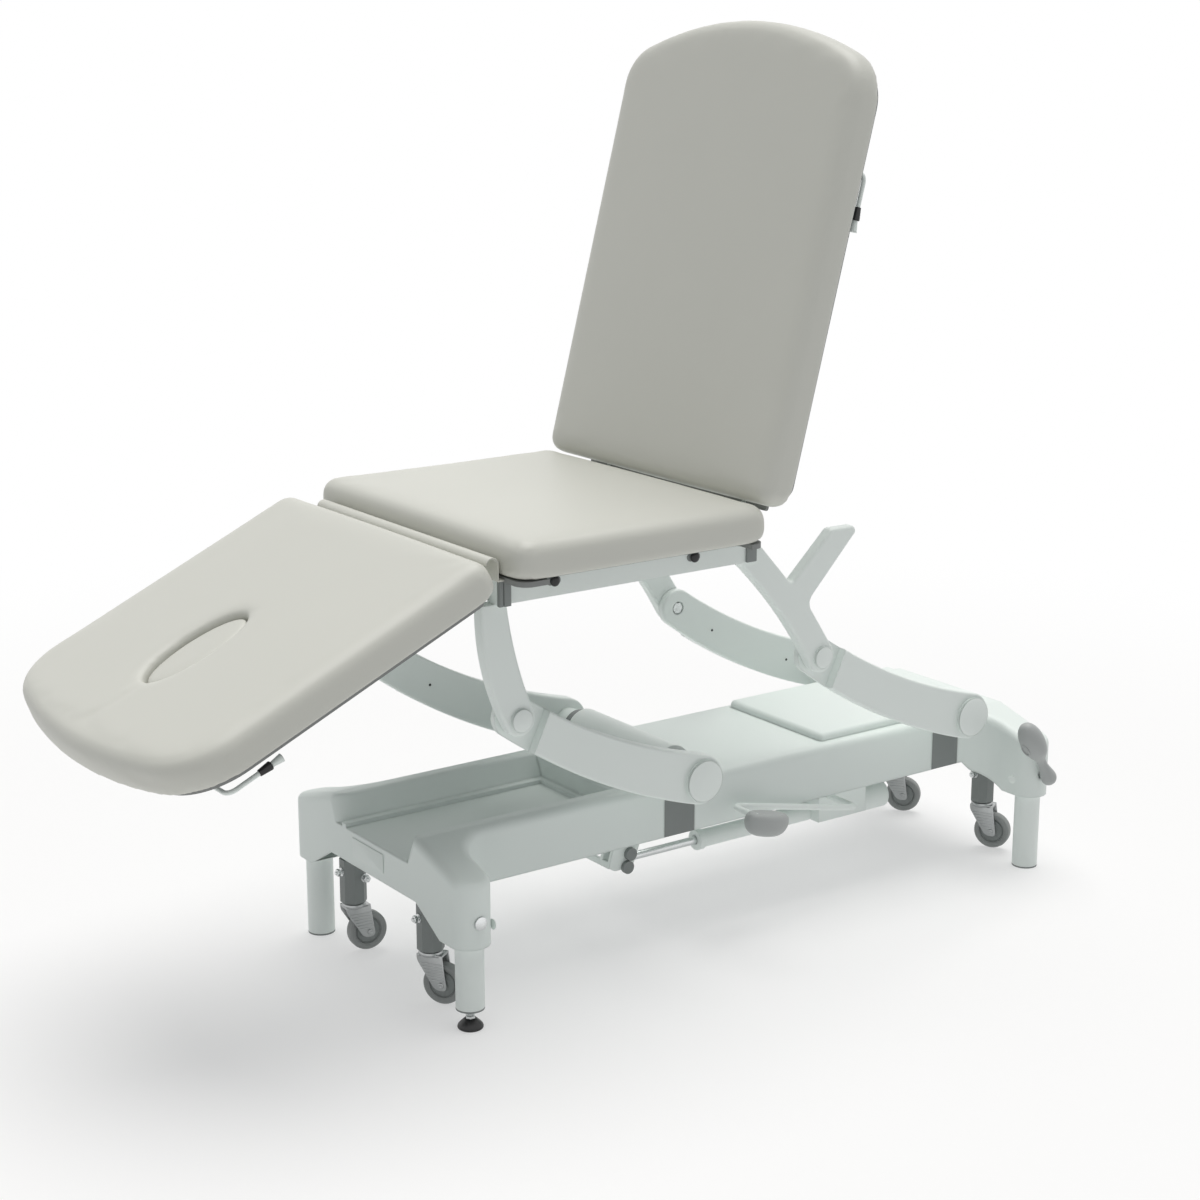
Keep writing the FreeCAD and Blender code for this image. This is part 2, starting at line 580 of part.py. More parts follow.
crank_low = s.crank_y - s.yoke_thick / 2 - s.cheek_gap - s.cheek_thick - s.bush_thick - s.saddle_clear
crank_wide = s.crank_far + s.saddle_clear - crank_low
slots.append(Part.makeBox(4 * s.torque_radius, crank_wide, low_z - s.boss_bottom,
                          Vec(front_x - 2 * s.torque_radius, crank_low, s.boss_bottom)))
for label, along, across in corners:
    x = mid + along * leg_x
    slots.append(Part.makeCylinder(leg_r + s.leg_hole_clear, s.leg_top, Vec(x, across * leg_y, 0)))
    if across < 0:
        slots.append(Part.makeCylinder(s.shaft_hole_radius, 2 * s.boss_radius,
                                       Vec(x, -leg_y, shaft_z), Vec(0, -1, 0)))
for slot in slots:
    shell = shell.cut(slot)
node("base_cover", solid("base_cover_shell", shell))

# Chassis: two long rails, an end plate over each pair of legs, bearers under the
# tray and a bridge that carries the pump.
rail_top = s.rail_bottom + s.rail_height
plate_low = s.leg_top - s.end_plate_thick
steel = []
holes = []
for along in (-1, 1):
    x = mid + along * leg_x
    half = s.end_plate_width / 2
    wide = leg_y - s.glide_thick
    steel.append(span("end_plate_%d" % (along + 1), (x - half, -wide, plate_low),
                      (x + half, wide, s.leg_top)))
    knuckle = x - along * (half - 5)
    for across in (-1, 1):
        low_x = min(knuckle, knuckle - along * 18)
        low_y = s.rail_inner if across > 0 else -tower_in
        steel.append(span("end_joint_%d%d" % (along + 1, across + 1), (low_x, low_y, plate_low),
                          (low_x + 18, low_y + s.rail_width, s.leg_top)))
        holes.append(cylinder("post_hole_%d%d" % (along + 1, across + 1), "post_radius + run_clear",
                              "leg_top", (x, across * s.castor_gauge / 2, 0)))
        holes.append(cylinder("leg_seat_%d%d" % (along + 1, across + 1), "leg_tube_od / 2 + weld_clear",
                              "leg_top * 2", (x, across * leg_y, 0)))
rail_half = leg_x - s.end_plate_width / 2 - 2
for across in (-1, 1):
    low_y = s.rail_inner if across > 0 else -tower_in
    steel.append(span("long_rail_%d" % (across + 1), (mid - rail_half, low_y, s.rail_bottom),
                      (mid + rail_half, low_y + s.rail_width, rail_top)))
    holes.append(span("long_rail_bore_%d" % (across + 1),
                      (mid - rail_half - 1, low_y + 3, s.rail_bottom + 3),
                      (mid + rail_half + 1, low_y + s.rail_width - 3, rail_top - 3)))
tray_low = s.tray_floor - s.cover_wall
bearers = []
for index, x in enumerate((mid - leg_x + s.bearer_inset, mid - leg_x + s.tray_end - s.bearer_inset)):
    bearers.append(span("bearer_%d" % index, (x, -tower_in, rail_top),
                        (x + s.bearer_width, tower_in, tray_low)))
node("tray_bearers", group("tray_bearer_set", bearers))
bridge_x = mid + s.pump_start
steel.append(span("pump_bridge", (bridge_x, -s.rail_inner - 2, s.rail_bottom),
                  (bridge_x + s.pump_length, s.rail_inner + 2, s.rail_bottom + 12)))
bores = holes[-2:]
beams = cut("chassis_bored", fuse("chassis_steel", steel), [h for h in holes if h not in bores])
rail_bores = fuse("rail_bores", bores)
node("chassis_frame", cut("chassis_solid", beams, [rail_bores]))

# Pivot towers stand on the rails inside the cover's slots and carry the arms.
towers = []
tower_half = s.tower_width / 2
for pivot, bore, tag in ((front_x, "shaft_radius + run_clear", "front"),
                         (rear_x, "rear_pin_radius + run_clear", "rear")):
    for across in (-1, 1):
        base = s.waist_bottom - low_z
        curves = [line((-tower_half, base), (tower_half, base)), line((tower_half, base), (tower_half, 0)),
                  arc((tower_half, 0), (0, tower_half), (-tower_half, 0)),
                  line((-tower_half, 0), (-tower_half, base))]
        thick = s.tower_out - tower_in
        tower = plate("%s_tower_%d" % (tag, across + 1), curves, "tower_out - rail_inner - rail_width",
                      upright(pivot, layer(across, tower_in, thick), low_z))
        hole = cylinder("%s_tower_bore_%d" % (tag, across + 1), bore, "tower_out * 2",
                        (pivot, -s.tower_out, low_z), (0, 1, 0))
        towers.append(cut("%s_tower_bored_%d" % (tag, across + 1), tower, [hole]))
node("pivot_towers", group("pivot_tower_set", towers))

# Lift arms: a curved bar between its lower and upper pivots, thinned at the top
# where the seat bracket laps over it.
arm_length = math.hypot(s.arm_run, s.arm_rise)
chord = (-s.arm_run / arm_length, s.arm_rise / arm_length)
normal = (chord[1], -chord[0])
lean = 4 * s.arm_sag / arm_length


def polar(centre, radius, direction, turn):
    c, q = math.cos(turn), math.sin(turn)
    x = direction[0] * c - direction[1] * q
    y = direction[0] * q + direction[1] * c
    return (centre[0] + radius * x, centre[1] + radius * y)


def arm_outline():
    low, high = (0.0, 0.0), (-s.arm_run, s.arm_rise)
    middle = (high[0] / 2, high[1] / 2)
    width = (s.arm_low_radius + s.arm_high_radius) / 2
    down = (-normal[0], -normal[1])
    a1 = polar(low, s.arm_low_radius, down, lean)
    a2 = polar(high, s.arm_high_radius, down, -lean)
    b1 = polar(low, s.arm_low_radius, normal, lean)
    b2 = polar(high, s.arm_high_radius, normal, -lean)
    lower = polar(middle, width + s.arm_sag, down, 0)
    upper = polar(middle, width - s.arm_sag, normal, 0)
    low_tip = polar(low, s.arm_low_radius, (-chord[0], -chord[1]), 0)
    high_tip = polar(high, s.arm_high_radius, chord, 0)
    return [arc(a1, lower, a2), arc(a2, high_tip, b2), arc(b2, upper, b1), arc(b1, low_tip, a1)]


def lift_arm(tag, pivot_x, side, bore_radius):
    bar = plate(tag + "_bar", arm_outline(), "arm_thick",
                upright(pivot_x, layer(side, s.arm_inner, s.arm_thick), low_z), "arm_edge")
    inner = s.tower_out + s.side_clear
    boss = cylinder(tag + "_boss", "spacer_radius", "arm_inner - tower_out - side_clear + arm_edge",
                    (pivot_x, side * inner, low_z), (0, side, 0))
    high_x = pivot_x - s.arm_run
    bolt_hole = cylinder(tag + "_bolt_hole", "bolt_radius + run_clear", "arm_thick * 2",
                         (high_x, side * (s.arm_inner - 1), high_z), (0, side, 0))
    head_hole = cylinder(tag + "_head_hole", "bolt_head_radius + head_clear", "bolt_head + head_clear",
                         (high_x, side * s.arm_inner, high_z), (0, side, 0))
    # The step that thins the upper end, square to the arm.
    tongue_out = s.arm_inner + s.tongue_thick
    step = doc.addObject("Part::Box", tag + "_step")
    bind(step, "Length", "tongue_reach + arm_low_radius * 2")
    bind(step, "Width", "arm_thick")
    bind(step, "Height", "arm_low_radius * 4")
    turn = FreeCAD.Rotation(Vec(0, 1, 0), math.degrees(math.atan2(-s.arm_rise, -s.arm_run)) + 180)
    edge_x = high_x - chord[0] * s.tongue_reach
    edge_z = high_z - chord[1] * s.tongue_reach
    offset = turn.multVec(Vec(-s.tongue_reach - 2 * s.arm_low_radius, 0, -2 * s.arm_low_radius))
    step_y = tongue_out if side > 0 else -tongue_out - s.arm_thick
    step.Placement = FreeCAD.Placement(Vec(edge_x, step_y, edge_z) + offset, turn)
    tools = [bolt_hole, head_hole, step]
    whole = fuse(tag + "_whole", [bar, boss])
    if bore_radius:
        depth = "arm_inner + arm_thick - arm_skin - tower_out - side_clear"
        tools.append(cylinder(tag + "_bore", bore_radius, depth, (pivot_x, side * inner, low_z),
                              (0, side, 0)))
        return cut(tag + "_solid", whole, tools)
    shaped = cut(tag + "_shaped", whole, tools)
    pin = cylinder(tag + "_pin", "rear_pin_radius", "arm_inner - rear_pin_inner",
                   (pivot_x, side * s.rear_pin_inner, low_z), (0, side, 0))
    return fuse(tag + "_solid", [shaped, pin])


for side, word in ((-1, "near"), (1, "far")):
    node("front_arm_" + word, lift_arm("front_arm_" + word, front_x, side, "shaft_radius + run_clear"))
    node("rear_arm_" + word, lift_arm("rear_arm_" + word, rear_x, side, None))
    node("rear_arm_cap_" + word, dome("rear_cap_" + word, s.pivot_cap_radius, s.cap_rim, s.cap_rise,
                                      facing(rear_x, side * arm_out, low_z, side)))
node("front_arm_caps", group("front_arm_cap_set", [
    dome("front_cap_%d" % (side + 1), s.pivot_cap_radius, s.cap_rim, s.cap_rise,
         facing(front_x, side * arm_out, low_z, side)) for side in (-1, 1)]))

# Torque tube between the front arms, with the crank that the ram pushes.
shaft_half = arm_out - s.arm_skin
crank_turn = math.radians(s.crank_angle)
pin_x = front_x - s.crank_radius * math.sin(crank_turn)
pin_z = low_z - s.crank_radius * math.cos(crank_turn)
tube_parts = [
    cylinder("torque_shaft", "shaft_radius", "2 * (arm_inner + arm_thick - arm_skin)",
             (front_x, -shaft_half, low_z), (0, 1, 0)),
    cylinder("torque_sleeve", "torque_radius", "2 * torque_half", (front_x, -s.torque_half, low_z),
             (0, 1, 0)),
]
crank_end = s.crank_radius + s.crank_tail
heel = s.crank_root * 1.2
crank_curves = chain([(-s.crank_root, 0, 0), (s.crank_root, 0, 0), (s.crank_tip, -crank_end, s.crank_tip),
                      (-heel, -crank_end - s.crank_tip, s.crank_tip),
                      (-heel, -crank_end + s.crank_tip, s.crank_tip),
                      (-s.crank_root, 0, 0)])
inner_cheek = s.yoke_thick / 2 + s.cheek_gap
crank_rotation = FreeCAD.Rotation(Vec(0, 1, 0), s.crank_angle)
cheek_tops = (s.crank_y - inner_cheek, s.crank_y + inner_cheek + s.cheek_thick, s.crank_far)
for index, top_y in enumerate(cheek_tops):
    place = FreeCAD.Placement(Vec(front_x, top_y, low_z), crank_rotation * FreeCAD.Rotation(Vec(1, 0, 0), 90))
    tube_parts.append(plate("crank_cheek_%d" % index, crank_curves, "cheek_thick", place))
near_cheek = s.crank_y - inner_cheek - s.cheek_thick
tie_low = -crank_end - s.crank_tip / 2
tie = span("crank_tie", (-heel, near_cheek, tie_low),
           (-heel + s.tie_thick, s.crank_far, tie_low + s.tie_deep))
tie.Placement = FreeCAD.Placement(Vec(front_x, 0, low_z), crank_rotation).multiply(tie.Placement)
tube_parts.append(tie)
half_pin = inner_cheek + s.cheek_thick / 2
tube_parts.append(cylinder("crank_pin", "crank_pin_radius", "yoke_thick + 2 * cheek_gap + cheek_thick",
                           (pin_x, s.crank_y - half_pin, pin_z), (0, 1, 0)))
node("front_torque_tube", fuse("front_torque_solid", tube_parts))
bush_y = s.crank_y - inner_cheek - s.cheek_thick
tail_x = front_x - crank_end * math.sin(crank_turn)
tail_z = low_z - crank_end * math.cos(crank_turn)
node("crank_bushes", group("crank_bush_set", [
    cylinder("crank_bush", "bush_radius", "bush_thick", (pin_x, bush_y, pin_z), (0, -1, 0)),
    cylinder("tail_bush", "bush_radius", "bush_thick", (tail_x, bush_y, tail_z), (0, -1, 0))]))

# Hydraulic ram: a barrel fixed to the pump and a rod whose slotted end takes the crank pin.
pump_x = mid + s.pump_start
ram_z = low_z - s.ram_drop
barrel = cylinder("ram_barrel", "ram_radius", "pump_start - ram_front",
                  (mid + s.ram_front, s.crank_y, ram_z), (1, 0, 0))
barrel_bore = cylinder("ram_bore", "rod_radius + run_clear", "pump_start - ram_front",
                       (mid + s.ram_front, s.crank_y, ram_z), (1, 0, 0))
node("ram_cylinder", cut("ram_cylinder_solid", barrel, [barrel_bore]))
yoke_half = s.slot_half + s.yoke_wall
h = s.slot_rise - s.slot_half
yoke_curves = []
for w in (yoke_half, s.slot_half):
    yoke_curves += [line((w, -h), (w, h)), arc((w, h), (0, h + w), (-w, h)), line((-w, h), (-w, -h)),
                    arc((-w, -h), (0, -h - w), (w, -h))]
yoke = plate("ram_yoke", yoke_curves, "yoke_thick",
             upright(pin_x, s.crank_y + s.yoke_thick / 2, ram_z + s.yoke_up))
ram_rod = cylinder("ram_rod_bar", "rod_radius", "rod_tail",
                   (pin_x + s.slot_half + 2, s.crank_y, ram_z), (1, 0, 0))
node("ram_rod", fuse("ram_rod_solid", [yoke, ram_rod]))

# Pump block with its reservoir, and the foot pedal that drives it.
pump_low_y = s.crank_y - s.pump_width / 2
block = span("pump_case", (pump_x, pump_low_y, ram_z - s.pump_below),
             (pump_x + s.pump_length, pump_low_y + s.pump_width, s.rail_bottom))
tank = cylinder("reservoir", "reservoir_radius", "reservoir_length + 5",
                (pump_x + s.pump_length - 5, s.crank_y, ram_z), (1, 0, 0))
pedal_x = mid + s.pedal_pivot_x
pedal_bore = cylinder("pedal_bore", "pedal_rod_radius + run_clear", "pump_width * 0.75",
                      (pedal_x, pump_low_y, s.pedal_pivot_z), (0, 1, 0))
node("pump_block", cut("pump_solid", fuse("pump_whole", [block, tank]), [pedal_bore]))
toe_x = pedal_x - s.pedal_reach
toe_z = s.pedal_pivot_z + s.pedal_lift
pedal_path = [(pedal_x, pump_low_y + s.pump_width * 0.7, s.pedal_pivot_z),
              (pedal_x, -s.pedal_side, s.pedal_pivot_z), (toe_x, -s.pedal_side, toe_z),
              (toe_x, -s.pedal_end, toe_z)]
node("pump_pedal", solid("pump_pedal_bar", bent_rod(pedal_path, s.pedal_rod_radius, s.pedal_bend)))


def oval(length, width):
    """A long rounded outline, straight along its sides."""
    r = width / 2
    x = length / 2 - r
    return [line((-x, -r), (x, -r)), arc((x, -r), (x + r, 0), (x, r)), line((x, r), (-x, r)),
            arc((-x, r), (-x - r, 0), (-x, -r))]


pad_y = -s.pedal_end + s.pad_grip - s.pad_width / 2
pad_tilt = FreeCAD.Rotation(Vec(0, 1, 0), math.degrees(math.atan2(s.pedal_lift, s.pedal_reach)))
pad_middle = Vec(toe_x + s.pad_ahead, pad_y, toe_z - s.pad_drop)
pad = plate("pedal_pad", oval(s.pad_length, s.pad_width), "pad_thick",
            FreeCAD.Placement(pad_middle + pad_tilt.multVec(Vec(0, 0, -s.pad_thick / 2)),
                              pad_tilt), "pad_round")
pad_bore = cylinder("pad_bore", "pedal_rod_radius + run_clear", "pad_grip + pad_width",
                    (toe_x, -s.pedal_end, toe_z), (0, 1, 0))
node("pump_pedal_pad", cut("pump_pad_solid", pad, [pad_bore]))

# Castor lift: a cross shaft at each end turns an eccentric in the head of each
# castor carrier. A tie rod makes both shafts turn together.
tilt = math.radians(s.eccentric_angle)
throw_x = s.eccentric_throw * math.cos(tilt)
throw_z = s.eccentric_throw * math.sin(tilt)
tie_turn = math.radians(s.tie_angle)
tie_dx = s.tie_radius * math.cos(tie_turn)
tie_dz = -s.tie_radius * math.sin(tie_turn)
out_y = leg_y + s.boss_radius
for word, along in (("front", -1), ("rear", 1)):
    x = mid + along * leg_x
    near = out_y + s.shaft_proud
    if along > 0:
        near += s.lever_hub_width - s.arm_skin - s.plug_clear
    parts = [cylinder(word + "_lift_shaft", "lift_shaft_radius", "%g + shaft_far_end" % near,
                      (x, -near, shaft_z), (0, 1, 0))]
    for across in (-1, 1):
        y = across * s.castor_gauge / 2 - s.eccentric_width / 2
        parts.append(cylinder("%s_eccentric_%d" % (word, across + 1), "eccentric_radius", "eccentric_width",
                              (x + throw_x, y, shaft_z + throw_z), (0, 1, 0)))
    # Crank for the tie rod: one cheek beside the rod's eye and a pin through it.
    reach = s.tie_radius
    cheek = [line((-s.tie_eye_radius, 0), (-s.tie_eye_radius, -reach)),
             arc((-s.tie_eye_radius, -reach), (0, -reach - s.tie_eye_radius), (s.tie_eye_radius, -reach)),
             line((s.tie_eye_radius, -reach), (s.tie_eye_radius, 0)),
             arc((s.tie_eye_radius, 0), (0, s.tie_eye_radius), (-s.tie_eye_radius, 0))]
    turn = FreeCAD.Rotation(Vec(0, 1, 0), s.tie_angle - 90) * FreeCAD.Rotation(Vec(1, 0, 0), 90)
    parts.append(plate(word + "_tie_cheek", cheek, "tie_cheek",
                       FreeCAD.Placement(Vec(x, s.tie_y, shaft_z), turn)))
    parts.append(cylinder(word + "_tie_pin", "tie_pin_radius", "2 * tie_cheek + tie_gap",
                          (x + tie_dx, s.tie_y - s.tie_cheek, shaft_z + tie_dz), (0, 1, 0)))
    if along < 0:
        parts.append(cylinder("lift_washer", "dome_radius", "shaft_proud",
                              (x, -out_y - s.shaft_proud, shaft_z), (0, -1, 0)))
        parts.append(dome("lift_dome", s.dome_radius, s.shaft_proud, s.dome_rise,
                          facing(x, -out_y - s.shaft_proud, shaft_z, -1)))
    node(word + "_castor_shaft", fuse(word + "_lift_solid", parts))
front_pin_x = mid - leg_x + tie_dx
rear_pin_x = mid + leg_x + tie_dx
tie_low = s.tie_y + s.tie_gap
eyes = []
eye_bores = []
for index, x in enumerate((front_pin_x, rear_pin_x)):
    eyes.append(cylinder("tie_eye_%d" % index, "tie_eye_radius", "tie_cheek",
                         (x, tie_low, shaft_z + tie_dz), (0, 1, 0)))
    eye_bores.append(cylinder("tie_bore_%d" % index, "tie_pin_radius + run_clear", "tie_cheek * 2",
                              (x, tie_low - 1, shaft_z + tie_dz), (0, 1, 0)))
bar_y = tie_low + s.tie_cheek / 2
eyes.append(cylinder("tie_bar", "tie_rod_radius * 0.7", "leg_span",
                     (front_pin_x, bar_y, shaft_z + tie_dz), (1, 0, 0)))
node("castor_tie_rod", cut("castor_tie_solid", fuse("castor_tie_whole", eyes), eye_bores))

# Foot paddle on the rear shaft's near end.
hub_y = -out_y - s.shaft_proud
lever_turn = FreeCAD.Rotation(Vec(0, 1, 0), -s.lever_angle)
lever_at = Vec(mid + leg_x, 0, shaft_z)
hub = cylinder("paddle_hub", "lever_hub_radius", "lever_hub_width", (mid + leg_x, hub_y, shaft_z), (0, -1, 0))
bar = doc.addObject("Part::Box", "paddle_bar")
bind(bar, "Length", "lever_reach")
bind(bar, "Width", "lever_bar")
bind(bar, "Height", "lever_bar_thick")
bar.Placement = FreeCAD.Placement(
    lever_at + lever_turn.multVec(Vec(0, -s.lever_pad_y - s.lever_bar / 2, -s.lever_bar_thick / 2)),
    lever_turn)
paddle = plate("paddle_pad", oval(s.lever_pad_length, s.lever_pad_width), "lever_pad_thick",
               FreeCAD.Placement(lever_at + lever_turn.multVec(
                   Vec(s.lever_reach, -s.lever_pad_y, -s.lever_pad_thick / 2)), lever_turn),
                   "lever_pad_round")
hub_bore = cylinder("paddle_bore", "lift_shaft_radius + weld_clear", "lever_hub_width - arm_skin",
                    (mid + leg_x, hub_y, shaft_z), (0, -1, 0))
node("castor_pedal", cut("castor_pedal_solid", fuse("castor_pedal_whole", [hub, bar, paddle]), [hub_bore]))

# Castors: a carrier that slides in the end plate, a swivelling fork and a wheel.
wheel_z = s.wheel_radius + s.wheel_lift
headings = {"near_left": -55.0, "far_left": -5.0, "near_right": -60.0, "far_right": -50.0}
fork_top = s.sleeve_bottom - s.swivel_gap
cheek_in = s.wheel_width / 2 + s.fork_gap
head_low = shaft_z + throw_z - s.eccentric_radius - s.yoke_clear - s.head_wall
head_high = shaft_z + throw_z + s.eccentric_radius + s.yoke_clear + s.head_wall
mid_throw = (throw_x + s.eccentric_throw) / 2
window_half = s.eccentric_radius + (s.eccentric_throw - throw_x) / 2 + s.yoke_side
for label, along, across in corners:
    x = mid + along * leg_x
    y = across * s.castor_gauge / 2
    r = s.sleeve_flats / 2 / math.cos(math.pi / 8)
    ring = [(r * math.cos(math.pi / 8 + k * math.pi / 4), r * math.sin(math.pi / 8 + k * math.pi / 4))
            for k in range(8)]
    sleeve = plate("sleeve_" + label, loop(ring), "%g - sleeve_bottom" % (head_low + 2),
                   FreeCAD.Placement(Vec(x, y, s.sleeve_bottom), FreeCAD.Rotation()))
    left = x + mid_throw - window_half
    right = x + mid_throw + window_half
    head = span("head_" + label, (left - s.head_wall, y - s.head_thick / 2, head_low),
                (right + s.head_wall, y + s.head_thick / 2, head_high))
    post = cylinder("post_" + label, "post_radius", "post_top - %g" % (head_high - 2), (x, y, head_high - 2))
    window = span("window_" + label, (left, y - s.head_thick, head_low + s.head_wall),
                  (right, y + s.head_thick, head_high - s.head_wall))
    socket = cylinder("socket_" + label, "stem_radius + run_clear", "stem_length + swivel_gap",
                      (x, y, s.sleeve_bottom), (0, 0, 1))
    node("castor_sleeve_" + label,
         cut("castor_sleeve_solid_" + label, fuse("carrier_" + label, [sleeve, head, post]),
             [window, socket]))

    turn = FreeCAD.Rotation(Vec(0, 0, 1), headings[label])
    axle = Vec(x, y, 0) + turn.multVec(Vec(s.castor_trail, 0, wheel_z))
    top = fork_top - s.fork_plate
    parts = [cylinder("fork_plate_" + label, "fork_plate_radius", "fork_plate", (x, y, top)),
             cylinder("stem_" + label, "stem_radius", "stem_length + fork_plate", (x, y, top))]
    cheek_r = 3 * s.axle_radius
    drop = wheel_z - top - 1
    trail = s.castor_trail
    outline = [line((-cheek_r, 0), (-cheek_r, -6)), line((-cheek_r, -6), (trail - cheek_r, drop)),
               arc((trail - cheek_r, drop), (trail, drop - cheek_r), (trail + cheek_r, drop)),
               line((trail + cheek_r, drop), (cheek_r, 0)), line((cheek_r, 0), (-cheek_r, 0))]
    for index, level in enumerate((-cheek_in, cheek_in + s.fork_sheet)):
        place = FreeCAD.Placement(Vec(x, y, top + 1) + turn.multVec(Vec(0, level, 0)),
                                  turn * FreeCAD.Rotation(Vec(1, 0, 0), 90))
        parts.append(plate("fork_cheek_%s_%d" % (label, index), outline, "fork_sheet", place))
    across_axis = turn.multVec(Vec(0, 1, 0))
    ends = axle - across_axis * (cheek_in + s.fork_sheet)
    parts.append(cylinder("axle_" + label, "axle_radius", "wheel_width + 2 * fork_gap + 2 * fork_sheet",
                          tuple(ends), tuple(across_axis)))
    node("castor_fork_" + label, fuse("castor_fork_solid_" + label, parts))

    bore = s.axle_radius + s.run_clear
    big = s.wheel_radius
    half = s.wheel_width / 2
    tread = half * 0.5
    hub_r, web_r, tyre_r = big * 0.33, big * 0.4, big * 0.66
    dish = half * 0.75
    profile = [line((bore, -half), (hub_r, -half)), line((hub_r, -half), (web_r, -dish)),
               line((web_r, -dish), (tyre_r, -dish)), line((tyre_r, -dish), (tyre_r + 2, -half)),
               line((tyre_r + 2, -half), (big - half + tread, -half)),
               arc((big - half + tread, -half), (big - 1.5, -half + 1.5), (big, -tread)),
               line((big, -tread), (big, tread)),
               arc((big, tread), (big - 1.5, half - 1.5), (big - half + tread, half)),
               line((big - half + tread, half), (tyre_r + 2, half)), line((tyre_r + 2, half), (tyre_r, dish)),
               line((tyre_r, dish), (web_r, dish)), line((web_r, dish), (hub_r, half)),
               line((hub_r, half), (bore, half)), line((bore, half), (bore, -half))]
    node("castor_wheel_" + label, turned("castor_wheel_solid_" + label, profile,
                                         FreeCAD.Placement(axle, turn)))

# Seat frame: box rails under the seat board, flat straps across them and hinge
# leaves with stub pins at both ends.
rail_front = leg_hinge_x + s.rail_front_gap
rail_rear = back_hinge_x + s.rail_rear_over
leaf_in = s.leaf_outer - s.leaf_thick
section_leaf = leaf_in - s.leaf_gap - s.leaf_thick
frame_parts = []
frame_bores = []
for side in (-1, 1):
    low_y = seat_rail_in if side > 0 else -s.seat_rail_outer
    wall = s.seat_rail_wall
    frame_parts.append(span("seat_rail_%d" % (side + 1), (rail_front, low_y, seat_rail_low),
                            (rail_rear, low_y + s.seat_rail_width, seat_rail_top)))
    frame_bores.append(span("seat_rail_bore_%d" % (side + 1),
                            (rail_front + wall, low_y + wall, seat_rail_low + wall),
                            (rail_rear - wall, low_y + s.seat_rail_width - wall, seat_rail_top - wall)))
for index, at in enumerate((s.strap_front, s.strap_rear)):
    x = leg_hinge_x + at
    frame_parts.append(span("seat_strap_%d" % index, (x, -seat_rail_in - 2, seat_rail_top - s.strap_thick),
                            (x + s.strap_width, seat_rail_in + 2, seat_rail_top)))
seat_shell = cut("seat_rails_hollow", fuse("seat_rails", frame_parts), frame_bores)
leaves = [seat_shell]
eye = s.eye_radius
deep = -s.pad_under - s.seat_rail_height * 0.9
high = -s.pad_under - 5
inward = s.rail_front_gap + s.seat_rail_wall
front_leaf = [arc((eye, 0), (0, eye), (-eye, 0)), line((-eye, 0), (-eye, deep)),
              line((-eye, deep), (inward, deep)),
              line((inward, deep), (inward, high)), line((inward, high), (eye, high)),
              line((eye, high), (eye, 0))]
base = -s.pad_under - s.seat_rail_wall
rear_leaf = [arc((eye, 0), (0, eye), (-eye, 0)), line((-eye, 0), (-eye, base)),
             line((-eye, base), (eye, base)),
             line((eye, base), (eye, 0))]
for side in (-1, 1):
    for tag, x, curves in (("front", leg_hinge_x, front_leaf), ("rear", back_hinge_x, rear_leaf)):
        leaves.append(plate("%s_leaf_%d" % (tag, side + 1), curves, "leaf_thick",
                            upright(x, layer(side, leaf_in, s.leaf_thick), hinge_z)))
        leaves.append(cylinder("%s_stub_%d" % (tag, side + 1), "hinge_pin_radius",
                               "leaf_thick * 2 + leaf_gap", (x, side * section_leaf, hinge_z), (0, side, 0)))
node("seat_frame", fuse("seat_frame_solid", leaves))

caps = []
for side in (-1, 1):
    low_y = s.seat_rail_outer if side > 0 else -s.seat_rail_outer - s.end_cap_proud
    caps.append(span("front_end_cap_%d" % (side + 1), (rail_front, low_y, seat_rail_low - 2),
                     (rail_front + s.end_cap_width, low_y + s.end_cap_proud, seat_rail_top)))
    thin_y = s.seat_rail_outer if side > 0 else -s.seat_rail_outer - s.end_cap_proud / 2
    caps.append(span("rear_end_cap_%d" % (side + 1), (rail_rear - s.end_cap_width, thin_y, seat_rail_low),
                     (rail_rear, thin_y + s.end_cap_proud / 2, seat_rail_low + s.rear_cap_height)))
node("rail_end_caps", group("rail_end_cap_set", caps))
knobs = []
for side in (-1, 1):
    for index, at in enumerate((s.knob_front, s.knob_rear)):
        place = facing(leg_hinge_x + at, side * s.seat_rail_outer, seat_rail_top - s.knob_drop, side)
        knobs.append(dome("knob_%d%d" % (side + 1, index), s.knob_radius, s.knob_proud - s.knob_radius * 0.6,
                          s.knob_radius * 0.6, place))
node("rail_knobs", group("rail_knob_set", knobs))

# Curved brackets that hang from the seat rails to the arms' upper pivots. The
# rear pair forks into a stop that the lowered backrest lies on.
hang = seat_rail_low - high_z
r = s.bracket_end_radius


def rim(angle):
    return (r * math.cos(math.radians(angle)), r * math.sin(math.radians(angle)))


def leaving(angle, quarter, end):
    """An arc that leaves the round pivot end tangentially and runs to a point."""
    start = rim(angle)
    heading = math.radians(angle + quarter)
    dx, dy = end[0] - start[0], end[1] - start[1]
    turn = math.atan2(dy, dx) - heading
    half = math.hypot(dx, dy) / (2 * math.cos(turn / 2))
    middle = (start[0] + half * math.cos(heading + turn / 2), start[1] + half * math.sin(heading + turn / 2))
    return arc(start, middle, end)


